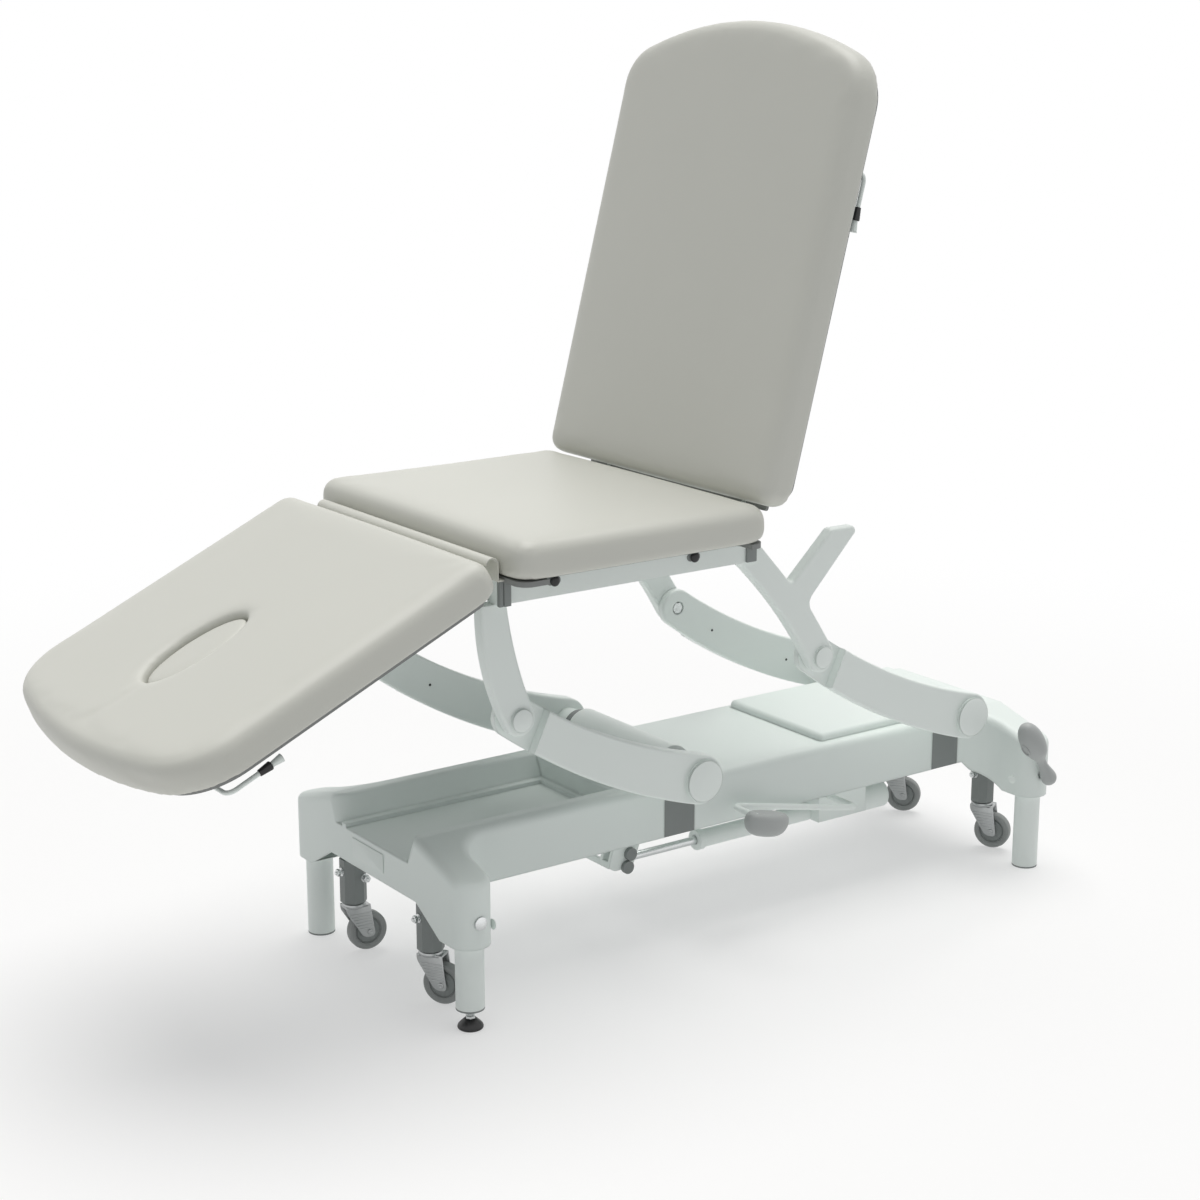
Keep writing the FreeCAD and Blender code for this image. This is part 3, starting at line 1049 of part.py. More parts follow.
near_top = (-s.bracket_top_near, hang)
far_top = (-s.bracket_top_far, hang)
front_curves = [arc(rim(208), rim(270), rim(23)), leaving(23, 90, near_top), line(near_top, far_top),
                leaving(208, -90, far_top)]
over_x = rail_rear - rear_high_x + 0.2
rail_cut = over_x - s.fork_seat
stop_z = hinge_z - s.pad_under - s.section_rail - s.stop_gap - high_z
stop_x = s.stop_length + 18
rear_curves = [arc(rim(210), rim(270), rim(33.4))]
rear_curves += chain([rim(33.4) + (0,), (-s.fork_neck, hang * 0.525, 22), (stop_x + 5, stop_z - 12, 8),
                      (stop_x, stop_z, 8), (s.stop_root, stop_z, 10),
                      (over_x + s.fork_crotch, hang * 0.725, 8),
                      (over_x + s.fork_root, hang + s.fork_rise, 14),
                      (over_x, hang + s.fork_lip, 0), (over_x, hang, 0), (rail_cut, hang, 0)])
rear_curves.append(leaving(210, -90, (rail_cut, hang)))
for word, x, curves in (("front", front_high_x, front_curves), ("rear", rear_high_x, rear_curves)):
    pair = []
    for side in (-1, 1):
        blank = plate("%s_bracket_%d" % (word, side + 1), curves, "bracket_thick",
                      upright(x, layer(side, bracket_in, s.bracket_thick), high_z), "bracket_edge",
                      lambda b: b.YMin > hang - 1 and b.XMax < over_x + 1
                                or b.YMin > hang - 1 and b.YLength < 1)
        hole = cylinder("%s_bracket_hole_%d" % (word, side + 1), "bolt_radius + run_clear",
                        "bracket_thick - bolt_end_skin", (x, side * bracket_in, high_z), (0, side, 0))
        pair.append(cut("%s_bracket_bored_%d" % (word, side + 1), blank, [hole]))
    node(word + "_brackets", group(word + "_bracket_set", pair))
bolts = []
bolt_caps = []
for word, x in (("front", front_high_x), ("rear", rear_high_x)):
    for side in (-1, 1):
        head_y = s.arm_inner + s.head_clear
        hexagon = [(s.bolt_head_radius * math.cos(k * math.pi / 3),
                    s.bolt_head_radius * math.sin(k * math.pi / 3))
                   for k in range(6)]
        head = plate("%s_bolt_head_%d" % (word, side + 1), loop(hexagon), "bolt_head - side_clear",
                     upright(x, layer(side, head_y, s.bolt_head - s.side_clear), high_z))
        length = bracket_out - s.bolt_end_skin - head_y
        shank = cylinder("%s_bolt_%d" % (word, side + 1), "bolt_radius", "%g" % length,
                         (x, side * head_y, high_z), (0, side, 0))
        bolts.append(fuse("%s_bolt_whole_%d" % (word, side + 1), [head, shank]))
        bolt_caps.append(dome("%s_bolt_cap_%d" % (word, side + 1), s.small_cap_radius, s.cap_rim / 2,
                              s.small_cap_rise, facing(x, side * bracket_out, high_z, side)))
node("upper_pivot_bolts", group("upper_bolt_set", bolts))
node("upper_pivot_caps", group("upper_cap_set", bolt_caps))

# Upholstered sections, each laid out flat in its own frame: X out from the hinge
# axis, Z up through the pad. A corner arc runs into the arched outer end.


def pad_curves(start, end, half, near_r, far_r, arch):
    points = []
    if arch:
        centre = end - arch
        depth = math.sqrt((arch - far_r) ** 2 - (half - far_r) ** 2)
        corner_x = centre + depth
        angle = math.atan2(half - far_r, depth)
        touch = (centre + arch * math.cos(angle), arch * math.sin(angle))
        bisect = math.radians(90) / 2 + angle / 2
        bend = (corner_x + far_r * math.cos(bisect), half - far_r + far_r * math.sin(bisect))
        points += [line((start + near_r, -half), (corner_x, -half)),
                   arc((corner_x, -half), (bend[0], -bend[1]), (touch[0], -touch[1])),
                   arc((touch[0], -touch[1]), (end, 0), touch),
                   arc(touch, bend, (corner_x, half)), line((corner_x, half), (start + near_r, half))]
    else:
        k = far_r * (1 - math.sqrt(0.5))
        points += [line((start + near_r, -half), (end - far_r, -half)),
                   arc((end - far_r, -half), (end - k, -half + k), (end, -half + far_r)),
                   line((end, -half + far_r), (end, half - far_r)),
                   arc((end, half - far_r), (end - k, half - k), (end - far_r, half)),
                   line((end - far_r, half), (start + near_r, half))]
    k = near_r * (1 - math.sqrt(0.5))
    points += [arc((start + near_r, half), (start + k, half - k), (start, half - near_r)),
               line((start, half - near_r), (start, -half + near_r)),
               arc((start, -half + near_r), (start + k, -half + k), (start + near_r, -half))]
    return points


def cushion(start, end, far_r, arch, hole=None):
    low = s.board_thick - s.pad_under
    form = prism(pad_curves(start, end, s.couch_half, s.pad_corner, far_r, arch), low, s.cushion_top)
    bulge = (s.couch_half ** 2 + s.cushion_crown ** 2) / (2 * s.cushion_crown)
    drum = Part.makeCylinder(bulge, end - start + 20, Vec(start - 10, 0, s.cushion_top - bulge), Vec(1, 0, 0))
    form = form.common(drum)
    if hole:
        form = form.cut(prism(hole, low - 1, s.cushion_top + 1))
    top, bottom, rim_edges = [], [], []
    for edge in form.Edges:
        bounds = edge.BoundBox
        outer = bounds.YMax > s.couch_half * 0.5 or bounds.YMin < -s.couch_half * 0.5
        if bounds.ZMax - low < 1e-3 and outer:
            bottom.append(edge)
        elif bounds.ZMin > s.cushion_top - 2 * s.cushion_crown:
            (top if outer else rim_edges).append(edge)
    form = form.makeFillet(s.cushion_round_top, top)
    bottom = [e for e in form.Edges if e.BoundBox.ZMax - low < 1e-3
              and (e.BoundBox.YMax > s.couch_half * 0.5 or e.BoundBox.YMin < -s.couch_half * 0.5)]
    form = form.makeFillet(s.cushion_round_low, bottom)
    if hole:
        rim_edges = [e for e in form.Edges if e.BoundBox.ZMin > s.cushion_top - 2 * s.cushion_crown
                     and e.BoundBox.YMax < s.couch_half * 0.5 and e.BoundBox.YMin > -s.couch_half * 0.5]
        form = form.makeFillet(s.hole_round, rim_edges)
    return form


seat_place = FreeCAD.Placement(Vec(leg_hinge_x, 0, hinge_z), FreeCAD.Rotation())
leg_place = FreeCAD.Placement(Vec(leg_hinge_x, 0, hinge_z), FreeCAD.Rotation(Vec(0, 1, 0), -s.leg_droop)
                              * FreeCAD.Rotation(Vec(0, 0, 1), 180))
back_place = FreeCAD.Placement(Vec(back_hinge_x, 0, hinge_z), FreeCAD.Rotation(Vec(0, 1, 0), -s.back_raise))


def board(name, start, end, far_r, arch, place, hole=None):
    inset = s.board_inset
    curves = pad_curves(start + inset, end - inset, s.couch_half - inset, s.pad_corner - inset, far_r - inset,
                        arch - inset if arch else None)
    drop = FreeCAD.Placement(Vec(0, 0, -s.pad_under), FreeCAD.Rotation())
    return plate(name, curves + (hole or []), "board_thick", place.multiply(drop))


def notched_board(name, start, end, place):
    """A board with full-width ears at its two ends and slimmer sides between them."""
    first = start + s.board_inset
    last = end - s.board_inset
    wide = s.couch_half - s.board_inset
    slim = s.seat_board_half
    turn = s.pad_corner - s.board_inset
    front = first + s.board_ear_front
    rear = last - s.board_ear_rear
    notch = s.board_notch
    rim = [(first, 0, 0), (first, -wide, turn), (front, -wide, 0), (front, -slim, notch),
           (rear, -slim, notch),
           (rear, -wide, 0), (last, -wide, turn), (last, wide, turn), (rear, wide, 0), (rear, slim, notch),
           (front, slim, notch), (front, wide, 0), (first, wide, turn), (first, 0, 0)]
    drop = FreeCAD.Placement(Vec(0, 0, -s.pad_under), FreeCAD.Rotation())
    return plate(name, chain(rim), "board_thick", place.multiply(drop))


seat_end = s.hinge_spacing - s.seat_gap_rear
node("seat_board", notched_board("seat_board_body", s.seat_gap_front, seat_end, seat_place))
node("seat_cushion", solid("seat_cushion_form", cushion(s.seat_gap_front, seat_end, s.pad_corner, None),
                           seat_place))
node("back_board", board("back_board_body", s.back_gap, s.back_reach, s.back_corner, s.back_arch, back_place))
node("back_cushion", solid("back_cushion_form",
                           cushion(s.back_gap, s.back_reach, s.back_corner, s.back_arch), back_place))


def ellipse(inset):
    """The breathing hole's outline, drawn in by the same amount all round."""
    return Part.Ellipse(Vec(s.hole_middle, 0, 0), s.hole_length / 2 - inset, s.hole_width / 2 - inset)


hole = [ellipse(0)]
ledge_hole = [ellipse(s.ledge)]
node("leg_board", board("leg_board_body", s.leg_gap, s.leg_reach, s.leg_corner, s.leg_arch,
                        leg_place, ledge_hole))
node("leg_cushion", solid("leg_cushion_form",
                          cushion(s.leg_gap, s.leg_reach, s.leg_corner, s.leg_arch, hole), leg_place))
plug_low = s.board_thick - s.pad_under
plug_form = prism([ellipse(s.plug_gap)], plug_low, s.cushion_top - s.plug_drop)
plug_rims = [e for e in plug_form.Edges if e.BoundBox.ZMin > s.cushion_top - s.plug_drop - 1]
node("face_plug", solid("face_plug_form", plug_form.makeFillet(s.plug_round, plug_rims), leg_place))

# Rolled strip that closes the gap above the front hinge.
ri = s.eye_radius + s.strip_clear
ro = ri + s.strip_sheet
first, last = math.radians(-8), math.radians(115)


def at(radius, angle):
    return (radius * math.cos(angle), radius * math.sin(angle))


half_turn = (first + last) / 2
toe = s.seat_gap_front + s.board_inset
foot = -s.pad_under + 3
step_z = -s.pad_under + s.board_thick - 3
strip = [arc(at(ro, first), at(ro, half_turn), at(ro, last)), line(at(ro, last), at(ri, last)),
         arc(at(ri, last), at(ri, half_turn), at(ri, first)), line(at(ri, first), (ri, foot)),
         line((ri, foot), (toe, foot)), line((toe, foot), (toe, step_z)), line((toe, step_z), (ro, step_z)),
         line((ro, step_z), at(ro, first))]
node("hinge_strip", plate("hinge_strip_body", strip, "2 * strip_half",
                          upright(leg_hinge_x, s.strip_half, hinge_z)))


# Steel frames under the leg section and the backrest, with hinge leaves, straps,
# the arm that the lifting strut pushes and a holder for the release lever.
def local_box(name, low, high, place):
    item = span(name, low, high)
    item.Placement = place.multiply(FreeCAD.Placement(Vec(*low), FreeCAD.Rotation()))
    return item


def local_plate(name, curves, depth, level, place):
    """An upright plate in a section's own frame, from level towards -Y."""
    return plate(name, curves, depth, place.multiply(upright(0, level, 0)))


def section_frame(tag, place, inner, width, start, end, straps, strut_y, arm_pin, release_at):
    top = -s.pad_under
    low = top - s.section_rail
    parts = []
    for side in (-1, 1):
        low_y = inner if side > 0 else -inner - width
        parts.append(local_box("%s_rail_%d" % (tag, side + 1), (start, low_y, low),
                               (end, low_y + width, top), place))
        leaf = [arc((0, eye), (-eye, 0), (0, -eye)), line((0, -eye), (start, low)),
                line((start, low), (start + 30, low)), line((start + 30, low), (start + 30, top)),
                line((start + 30, top), (start - 2, top)), line((start - 2, top), (0, eye))]
        leaf_plate = local_plate("%s_leaf_%d" % (tag, side + 1), leaf, "leaf_thick",
                                 layer(side, section_leaf, s.leaf_thick), place)
        pin = cylinder("%s_leaf_bore_%d" % (tag, side + 1), "hinge_pin_radius + run_clear",
                       "leaf_thick * 4", (0, 0, 0))
        pin.Placement = place.multiply(FreeCAD.Placement(
            Vec(0, side * section_leaf - 2 * s.leaf_thick, 0), FreeCAD.Rotation(Vec(0, 0, 1), Vec(0, 1, 0))))
        parts.append(cut("%s_leaf_bored_%d" % (tag, side + 1), leaf_plate, [pin]))
    for index, x in enumerate(straps):
        parts.append(local_box("%s_strap_%d" % (tag, index), (x, -inner - 2, top - s.section_strap_thick),
                               (x + s.section_strap, inner + 2, top), place))
    # Strut arm: two cheeks from the first strap to the pin.
    px, pz = arm_pin
    reach = 1.8 * s.strut_pin_radius
    x0 = straps[0]
    x1 = x0 + s.section_strap
    foot_z = top - s.section_strap_thick + 2
    toward = math.atan2(foot_z - pz, x0 - px)
    side_a = (px + reach * math.cos(toward + math.pi / 2), pz + reach * math.sin(toward + math.pi / 2))
    side_b = (px + reach * math.cos(toward - math.pi / 2), pz + reach * math.sin(toward - math.pi / 2))
    tip = (px - reach * math.cos(toward), pz - reach * math.sin(toward))
    arm = [line((x0, foot_z), side_a), arc(side_a, tip, side_b), line(side_b, (x1, foot_z)),
           line((x1, foot_z), (x0, foot_z))]
    inner_face = s.strut_yoke_thick / 2 + s.strut_gap
    for index, level in enumerate((strut_y - inner_face, strut_y + inner_face + s.strut_cheek)):
        parts.append(local_plate("%s_arm_%d" % (tag, index), arm, "strut_cheek", level, place))
    pin = cylinder(tag + "_arm_pin", "strut_pin_radius",
                   "strut_yoke_thick + 2 * strut_gap + strut_cheek", (0, 0, 0))
    pin.Placement = place.multiply(FreeCAD.Placement(
        Vec(px, strut_y - inner_face - s.strut_cheek / 2, pz), FreeCAD.Rotation(Vec(0, 0, 1), Vec(0, 1, 0))))
    parts.append(pin)
    # Holder for the release lever under the last strap.
    side_sign = -1 if place is back_place else 1
    low_y = side_sign * s.release_inner
    block_y = min(low_y, low_y + side_sign * s.release_hold * 2)
    holder = local_box(tag + "_holder", (release_at - 9, block_y, -s.release_depth - 9),
                       (release_at + 9, block_y + s.release_hold * 2, top - 2), place)
    whole = fuse(tag + "_whole", parts + [holder])
    bore = cylinder(tag + "_release_bore", "release_rod_radius + run_clear",
                    "release_hold * 2 + 2", (0, 0, 0))
    bore.Placement = place.multiply(FreeCAD.Placement(
        Vec(release_at, block_y - 1, -s.release_depth), FreeCAD.Rotation(Vec(0, 0, 1), Vec(0, 1, 0))))
    return cut(tag + "_solid", whole, [bore])


half_raise = math.radians(s.back_raise / 2)
leg_pin = (0.0, -s.strut_arm)
back_pin = (-s.strut_arm * math.sin(half_raise), -s.strut_arm * math.cos(half_raise))
node("leg_frame", section_frame("leg_frame", leg_place, s.leg_rail_inner, s.leg_rail_width, s.leg_rail_start,
                                s.leg_rail_end, (60.0, 270.0, s.leg_release_at - s.section_strap / 2),
                                s.strut_y, leg_pin, s.leg_release_at))
node("back_frame", section_frame("back_frame", back_place, s.back_rail_inner, s.back_rail_width,
                                 s.back_rail_start, s.back_rail_end,
                                 (60.0, 360.0, s.back_release_at - s.section_strap / 2),
                                 s.strut_y, back_pin, s.back_release_at))


# Lifting struts under the seat: a barrel hung from the straps and a rod whose
# slotted end takes the pin of the section's arm.
def strut(tag, y, drop, rise, pin_at, outward, start, end):
    z = hinge_z - drop
    lugs_top = seat_rail_top - s.strap_thick
    barrel = cylinder(tag + "_barrel", "strut_radius", "%g" % (end - start), (start, y, z), (1, 0, 0))
    parts = [barrel]
    for index, at_x in enumerate((s.strap_front, s.strap_rear)):
        x = leg_hinge_x + at_x + (s.strap_width - s.lug_width) / 2
        parts.append(span("%s_lug_%d" % (tag, index), (x, y - s.strut_radius * 0.6, z),
                          (x + s.lug_width, y + s.strut_radius * 0.6, lugs_top)))
    bore = cylinder(tag + "_bore", "strut_rod_radius + run_clear", "%g" % (end - start + 2),
                    (start - 1, y, z), (1, 0, 0))
    node(tag, cut(tag + "_solid", fuse(tag + "_whole", parts), [bore]))
    w = s.strut_pin_radius + s.strut_slot_clear
    h = rise - w
    half = w + s.strut_yoke_half - s.strut_pin_radius
    top = rise + 6
    curves = loop([(-half, -top), (half, -top), (half, top), (-half, top)])
    curves += [line((w, -h), (w, h)), arc((w, h), (0, h + w), (-w, h)), line((-w, h), (-w, -h)),
               arc((-w, -h), (0, -h - w), (w, -h))]
    yoke = plate(tag + "_yoke", curves, "strut_yoke_thick", upright(pin_at, y + s.strut_yoke_thick / 2, z))
    direction = -outward
    root = pin_at + direction * (half - 2)
    mouth = start if outward < 0 else end
    length = abs(mouth - root) + s.strut_rest
    rod = cylinder(tag + "_bar", "strut_rod_radius", "%g" % length, (root, y, z), (direction, 0, 0))
    node(tag + "_rod", fuse(tag + "_rod_solid", [yoke, rod]))


droop = math.radians(s.leg_droop)
strut("leg_strut", -s.strut_y, s.leg_strut_z, s.leg_slot_rise,
      leg_hinge_x + s.strut_arm * math.sin(droop), -1,
      leg_hinge_x + s.strut_front, leg_hinge_x + s.strut_rear)
strut("back_strut", s.strut_y, s.back_strut_z, s.back_slot_rise,
      back_hinge_x + s.strut_arm * math.sin(half_raise), 1,
      leg_hinge_x + s.strut_front + 60, leg_hinge_x + s.strut_rear)


# Release levers: a bent rod that turns in its holder, with a tapered grip.
def release(tag, place, at_x, side):
    z = -s.release_depth
    bend_y = side * s.release_side
    path = [(at_x, side * s.release_inner, z), (at_x, bend_y, z), (at_x - s.release_run, bend_y, z)]
    rod = bent_rod(path, s.release_rod_radius, s.release_bend)
    grip = Part.makeCone(s.release_rod_radius + 0.5, s.grip_radius, s.grip_length,
                         Vec(at_x - s.release_run, bend_y, z), Vec(-1, 0, 0))
    lever = Part.makeCompound([rod, grip])
    node(tag, solid(tag + "_lever", lever, place))


release("leg_release", leg_place, s.leg_release_at, 1)
release("back_release", back_place, s.back_release_at, -1)

doc.recompute()
bad = [item.Name for item in doc.Objects if "Invalid" in item.State or "Error" in item.State]
for item in nodes:
    if item.Shape.isNull() or not item.Shape.isValid() or not item.Shape.Solids:
        bad.append(item.Label)
if bad:
    raise RuntimeError("failed to build: " + ", ".join(bad))
os.makedirs("parts", exist_ok=True)
total = FreeCAD.BoundBox()
for item in nodes:
    item.Shape.exportStep("parts/%s.step" % item.Label)
    total.add(item.Shape.BoundBox)
print(len(nodes), "pieces", total)
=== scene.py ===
# %% [markdown]
# # A treatment couch, dressed in Blender
# The couch is a clinic table on a moulded base: two pairs of arms lift a level
# seat, and a leg section and a backrest are hinged to it. The construction comes
# in as a fixed frame of measured solids. This lesson gives every solid a finish
# and adds the pieces whose looks need mesh work: upholstery, castors, pedals,
# feet and small fittings.

# %% Load the frame
import json
import math

import bmesh
import bpy
from mathutils import Matrix, Vector


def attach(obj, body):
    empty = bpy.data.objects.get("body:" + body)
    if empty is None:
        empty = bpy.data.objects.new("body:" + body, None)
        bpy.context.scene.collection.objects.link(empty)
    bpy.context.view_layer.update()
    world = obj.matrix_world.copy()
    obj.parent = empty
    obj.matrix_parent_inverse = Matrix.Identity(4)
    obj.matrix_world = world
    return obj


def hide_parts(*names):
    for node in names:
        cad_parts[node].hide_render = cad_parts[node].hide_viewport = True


MM = 0.001
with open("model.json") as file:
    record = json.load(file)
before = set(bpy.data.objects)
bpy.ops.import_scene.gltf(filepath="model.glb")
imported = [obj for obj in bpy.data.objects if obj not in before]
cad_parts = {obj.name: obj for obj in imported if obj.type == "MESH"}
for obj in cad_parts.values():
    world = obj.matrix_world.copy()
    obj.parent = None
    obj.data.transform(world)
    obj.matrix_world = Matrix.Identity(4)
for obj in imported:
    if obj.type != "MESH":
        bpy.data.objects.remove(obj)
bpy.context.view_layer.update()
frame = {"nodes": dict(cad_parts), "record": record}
nodes = frame["nodes"]
scene = bpy.context.scene
scene.view_settings.view_transform = "Standard"

# %% [markdown]
# ## Places that several pieces share
# The frame stands at rest, with +X towards the backrest, +Y to the far side and +Z
# up. These are the places on it that more than one piece is set by, in
# millimetres: the hinges of the two sections and how far each leans, the pivots of
# the arms, the outer faces of the seat rails, the side on which the release levers
# hang, and the two lines across the base on which feet and castors stand.

# %% Shared places
LEG_HINGE = Vector((-357, 0, 820))
BACK_HINGE = Vector((204, 0, 820))
LEG_LEAN = math.radians(24.5)
BACK_LEAN = math.radians(75.28)
FRONT_PIVOT_X = 128
UPPER_PIVOT_X = -275
ARM_SPACING = 678
LOWER_PIVOT_Z = 337
UPPER_PIVOT_Z = 528
RAIL_FACE_Y = 252
RELEASE_Y = -305
CASTOR_FRONT_X = -400
CASTOR_REAR_X = 948
leg_up = (-math.sin(LEG_LEAN), 0.0, math.cos(LEG_LEAN))
back_up = (-math.sin(BACK_LEAN), 0.0, math.cos(BACK_LEAN))
print("hinges", tuple(LEG_HINGE), tuple(BACK_HINGE))

# %% [markdown]
# ## The photographer's stand
# The camera stands to the front left of the couch, as high as the top of the
# backrest, and looks down at it by about fourteen degrees. A longish lens keeps
# the upright backrest straight.

# %% Camera
lens = bpy.data.cameras.new("couch_camera")
lens.sensor_width = 36.0
lens.lens = 68.97
lens.clip_end = 60.0
camera = bpy.data.objects.new("couch_camera", lens)
look_down = 14.47
look_round = -35.5
camera.location = (-2.3468, -3.3798, 1.7099)
camera.rotation_euler = (math.radians(90 - look_down), 0.0, math.radians(look_round))
scene.collection.objects.link(camera)
scene.camera = camera
print("camera at", tuple(round(c, 3) for c in camera.location))

# %% [markdown]
# ## Studio floor and light
# The couch stands on a white studio floor that runs up to white paper. The floor
# is a plain disc: near the couch it is half matt paint that takes the shadow and
# half glowing white, and far away it fades to the paper's white, so no horizon
# shows. One very broad lamp hangs overhead, a little to the right and behind, and
# the pale room fills the shadows.


# %% Floor
def floor_paint():
    paint = bpy.data.materials.new("studio_floor_paint")
    paint.use_nodes = True
    tree = paint.node_tree
    shader = tree.nodes["Principled BSDF"]
    shader.inputs["Base Color"].default_value = (0.93, 0.93, 0.93, 1)
    shader.inputs["Roughness"].default_value = 0.9
    shader.inputs["Specular IOR Level"].default_value = 0.1
    paper = tree.nodes.new("ShaderNodeEmission")
    path = tree.nodes.new("ShaderNodeLightPath")
    glow = tree.nodes.new("ShaderNodeMapRange")
    glow.inputs["To Min"].default_value = 0.78
    tree.links.new(path.outputs["Is Camera Ray"], glow.inputs["Value"])
    tree.links.new(glow.outputs["Result"], paper.inputs["Strength"])
    where = tree.nodes.new("ShaderNodeTexCoord")
    reach = tree.nodes.new("ShaderNodeVectorMath")
    reach.operation = "LENGTH"
    fade = tree.nodes.new("ShaderNodeMapRange")
    fade.interpolation_type = "SMOOTHSTEP"
    fade.inputs["From Min"].default_value = 1.5
    fade.inputs["From Max"].default_value = 3.4
    fade.inputs["To Min"].default_value = 0.46
    blend = tree.nodes.new("ShaderNodeMixShader")
    tree.links.new(where.outputs["Object"], reach.inputs[0])
    tree.links.new(reach.outputs["Value"], fade.inputs["Value"])
    tree.links.new(fade.outputs["Result"], blend.inputs["Fac"])
    tree.links.new(shader.outputs["BSDF"], blend.inputs[1])
    tree.links.new(paper.outputs["Emission"], blend.inputs[2])
    tree.links.new(blend.outputs["Shader"], tree.nodes["Material Output"].inputs["Surface"])
    return paint


def studio_floor():
    bm = bmesh.new()
    bmesh.ops.create_circle(bm, cap_ends=True, segments=96, radius=30.0)
    mesh = bpy.data.meshes.new("studio_floor")
    bm.to_mesh(mesh)
    bm.free()
    floor = bpy.data.objects.new("studio_floor", mesh)
    scene.collection.objects.link(floor)
    mesh.materials.append(floor_paint())
    return floor


print("floor", studio_floor().name)


# %% Light
def studio_light():
    room = bpy.data.worlds.new("studio_room")
    room.use_nodes = True
    tree = room.node_tree
    fill = tree.nodes["Background"]
    fill.inputs["Color"].default_value = (0.97, 0.985, 1.0, 1)
    fill.inputs["Strength"].default_value = 0.30
    paper = tree.nodes.new("ShaderNodeBackground")
    paper.inputs["Color"].default_value = (1.0, 1.0, 1.0, 1)
    paper.inputs["Strength"].default_value = 1.0
    path = tree.nodes.new("ShaderNodeLightPath")
    seen = tree.nodes.new("ShaderNodeMath")
    seen.operation = "MAXIMUM"
    shown = tree.nodes.new("ShaderNodeMath")
    shown.operation = "MAXIMUM"
    choose = tree.nodes.new("ShaderNodeMixShader")
    tree.links.new(path.outputs["Is Camera Ray"], seen.inputs[0])
    tree.links.new(path.outputs["Is Glossy Ray"], seen.inputs[1])
    tree.links.new(seen.outputs["Value"], shown.inputs[0])
    tree.links.new(path.outputs["Is Transmission Ray"], shown.inputs[1])
    tree.links.new(shown.outputs["Value"], choose.inputs["Fac"])
    tree.links.new(fill.outputs["Background"], choose.inputs[1])
    tree.links.new(paper.outputs["Background"], choose.inputs[2])
    tree.links.new(choose.outputs["Shader"], tree.nodes["World Output"].inputs["Surface"])
    scene.world = room
    lamp = bpy.data.lights.new("broad_lamp", "SUN")
    lamp.energy = 2.3
    lamp.angle = math.radians(55)
    lamp.color = (1.0, 0.985, 0.965)
    key = bpy.data.objects.new("broad_lamp", lamp)
    key.rotation_euler = Vector((0.15, 0.12, 0.98)).to_track_quat("Z", "Y").to_euler()
    scene.collection.objects.link(key)
    return key


print("lamp", studio_light().name)

# %% [markdown]
# ## Finishes
# Each finish is made of nodes on Object coordinates, so it stays where it is on
# the piece. A broad noise shifts the colour a little, as paint and moulding
# colour do, and a fine grain drives both the gloss and a shallow relief. The
# covering of the pads has pebbled cells, and plated steel has a drawn grain.
# Thick paint and moulded plastic also flow round their edges a little, so their
# shading is carried round each edge.


# %% One finish
GLOSS_SPREAD = 0.06


def make_finish(name, colour, rough, grain, depth, tint=0.03, patch=6.0, metal=0.0, cells=0.0, drawn=None,
                edge=0.0):
    finish = bpy.data.materials.new(name)
    finish.use_nodes = True
    tree = finish.node_tree
    make = tree.nodes.new
    join = tree.links.new
    shader = tree.nodes["Principled BSDF"]
    shader.inputs["Metallic"].default_value = metal
    where = make("ShaderNodeTexCoord").outputs["Object"]
    stretch = make("ShaderNodeMapping")
    stretch.inputs["Scale"].default_value = drawn or (1.0, 1.0, 1.0)
    join(where, stretch.inputs["Vector"])
    broad = make("ShaderNodeTexNoise")
    broad.inputs["Scale"].default_value = patch
    broad.inputs["Detail"].default_value = 4.0
    join(where, broad.inputs["Vector"])
    fine = make("ShaderNodeTexNoise")
    fine.inputs["Scale"].default_value = grain
    fine.inputs["Detail"].default_value = 3.0
    join(stretch.outputs["Vector"], fine.inputs["Vector"])
    tone = make("ShaderNodeMix")
    tone.data_type = "RGBA"
    tone.inputs["A"].default_value = (*[c * (1 - tint) for c in colour], 1)
    tone.inputs["B"].default_value = (*[min(1.0, c * (1 + tint)) for c in colour], 1)
    join(broad.outputs["Fac"], tone.inputs["Factor"])
    join(tone.outputs["Result"], shader.inputs["Base Color"])
    gloss = make("ShaderNodeMapRange")
    gloss.inputs["From Min"].default_value = 0.3
    gloss.inputs["From Max"].default_value = 0.7
    gloss.inputs["To Min"].default_value = rough - GLOSS_SPREAD
    gloss.inputs["To Max"].default_value = rough + GLOSS_SPREAD
    join(fine.outputs["Fac"], gloss.inputs["Value"])
    join(gloss.outputs["Result"], shader.inputs["Roughness"])
    relief = make("ShaderNodeBump")
    relief.inputs["Strength"].default_value = 0.5
    relief.inputs["Distance"].default_value = depth
    height = fine.outputs["Fac"]
    if cells:
        pebble = make("ShaderNodeTexVoronoi")
        pebble.feature = "SMOOTH_F1"
        pebble.inputs["Scale"].default_value = cells
        join(where, pebble.inputs["Vector"])
        both = make("ShaderNodeMath")
        both.operation = "ADD"
        join(pebble.outputs["Distance"], both.inputs[0])
        join(fine.outputs["Fac"], both.inputs[1])
        height = both.outputs["Value"]
    if edge:
        worn = make("ShaderNodeBevel")
        worn.inputs["Radius"].default_value = edge * MM
        join(worn.outputs["Normal"], relief.inputs["Normal"])
    join(height, relief.inputs["Height"])
    join(relief.outputs["Normal"], shader.inputs["Normal"])
    return finish


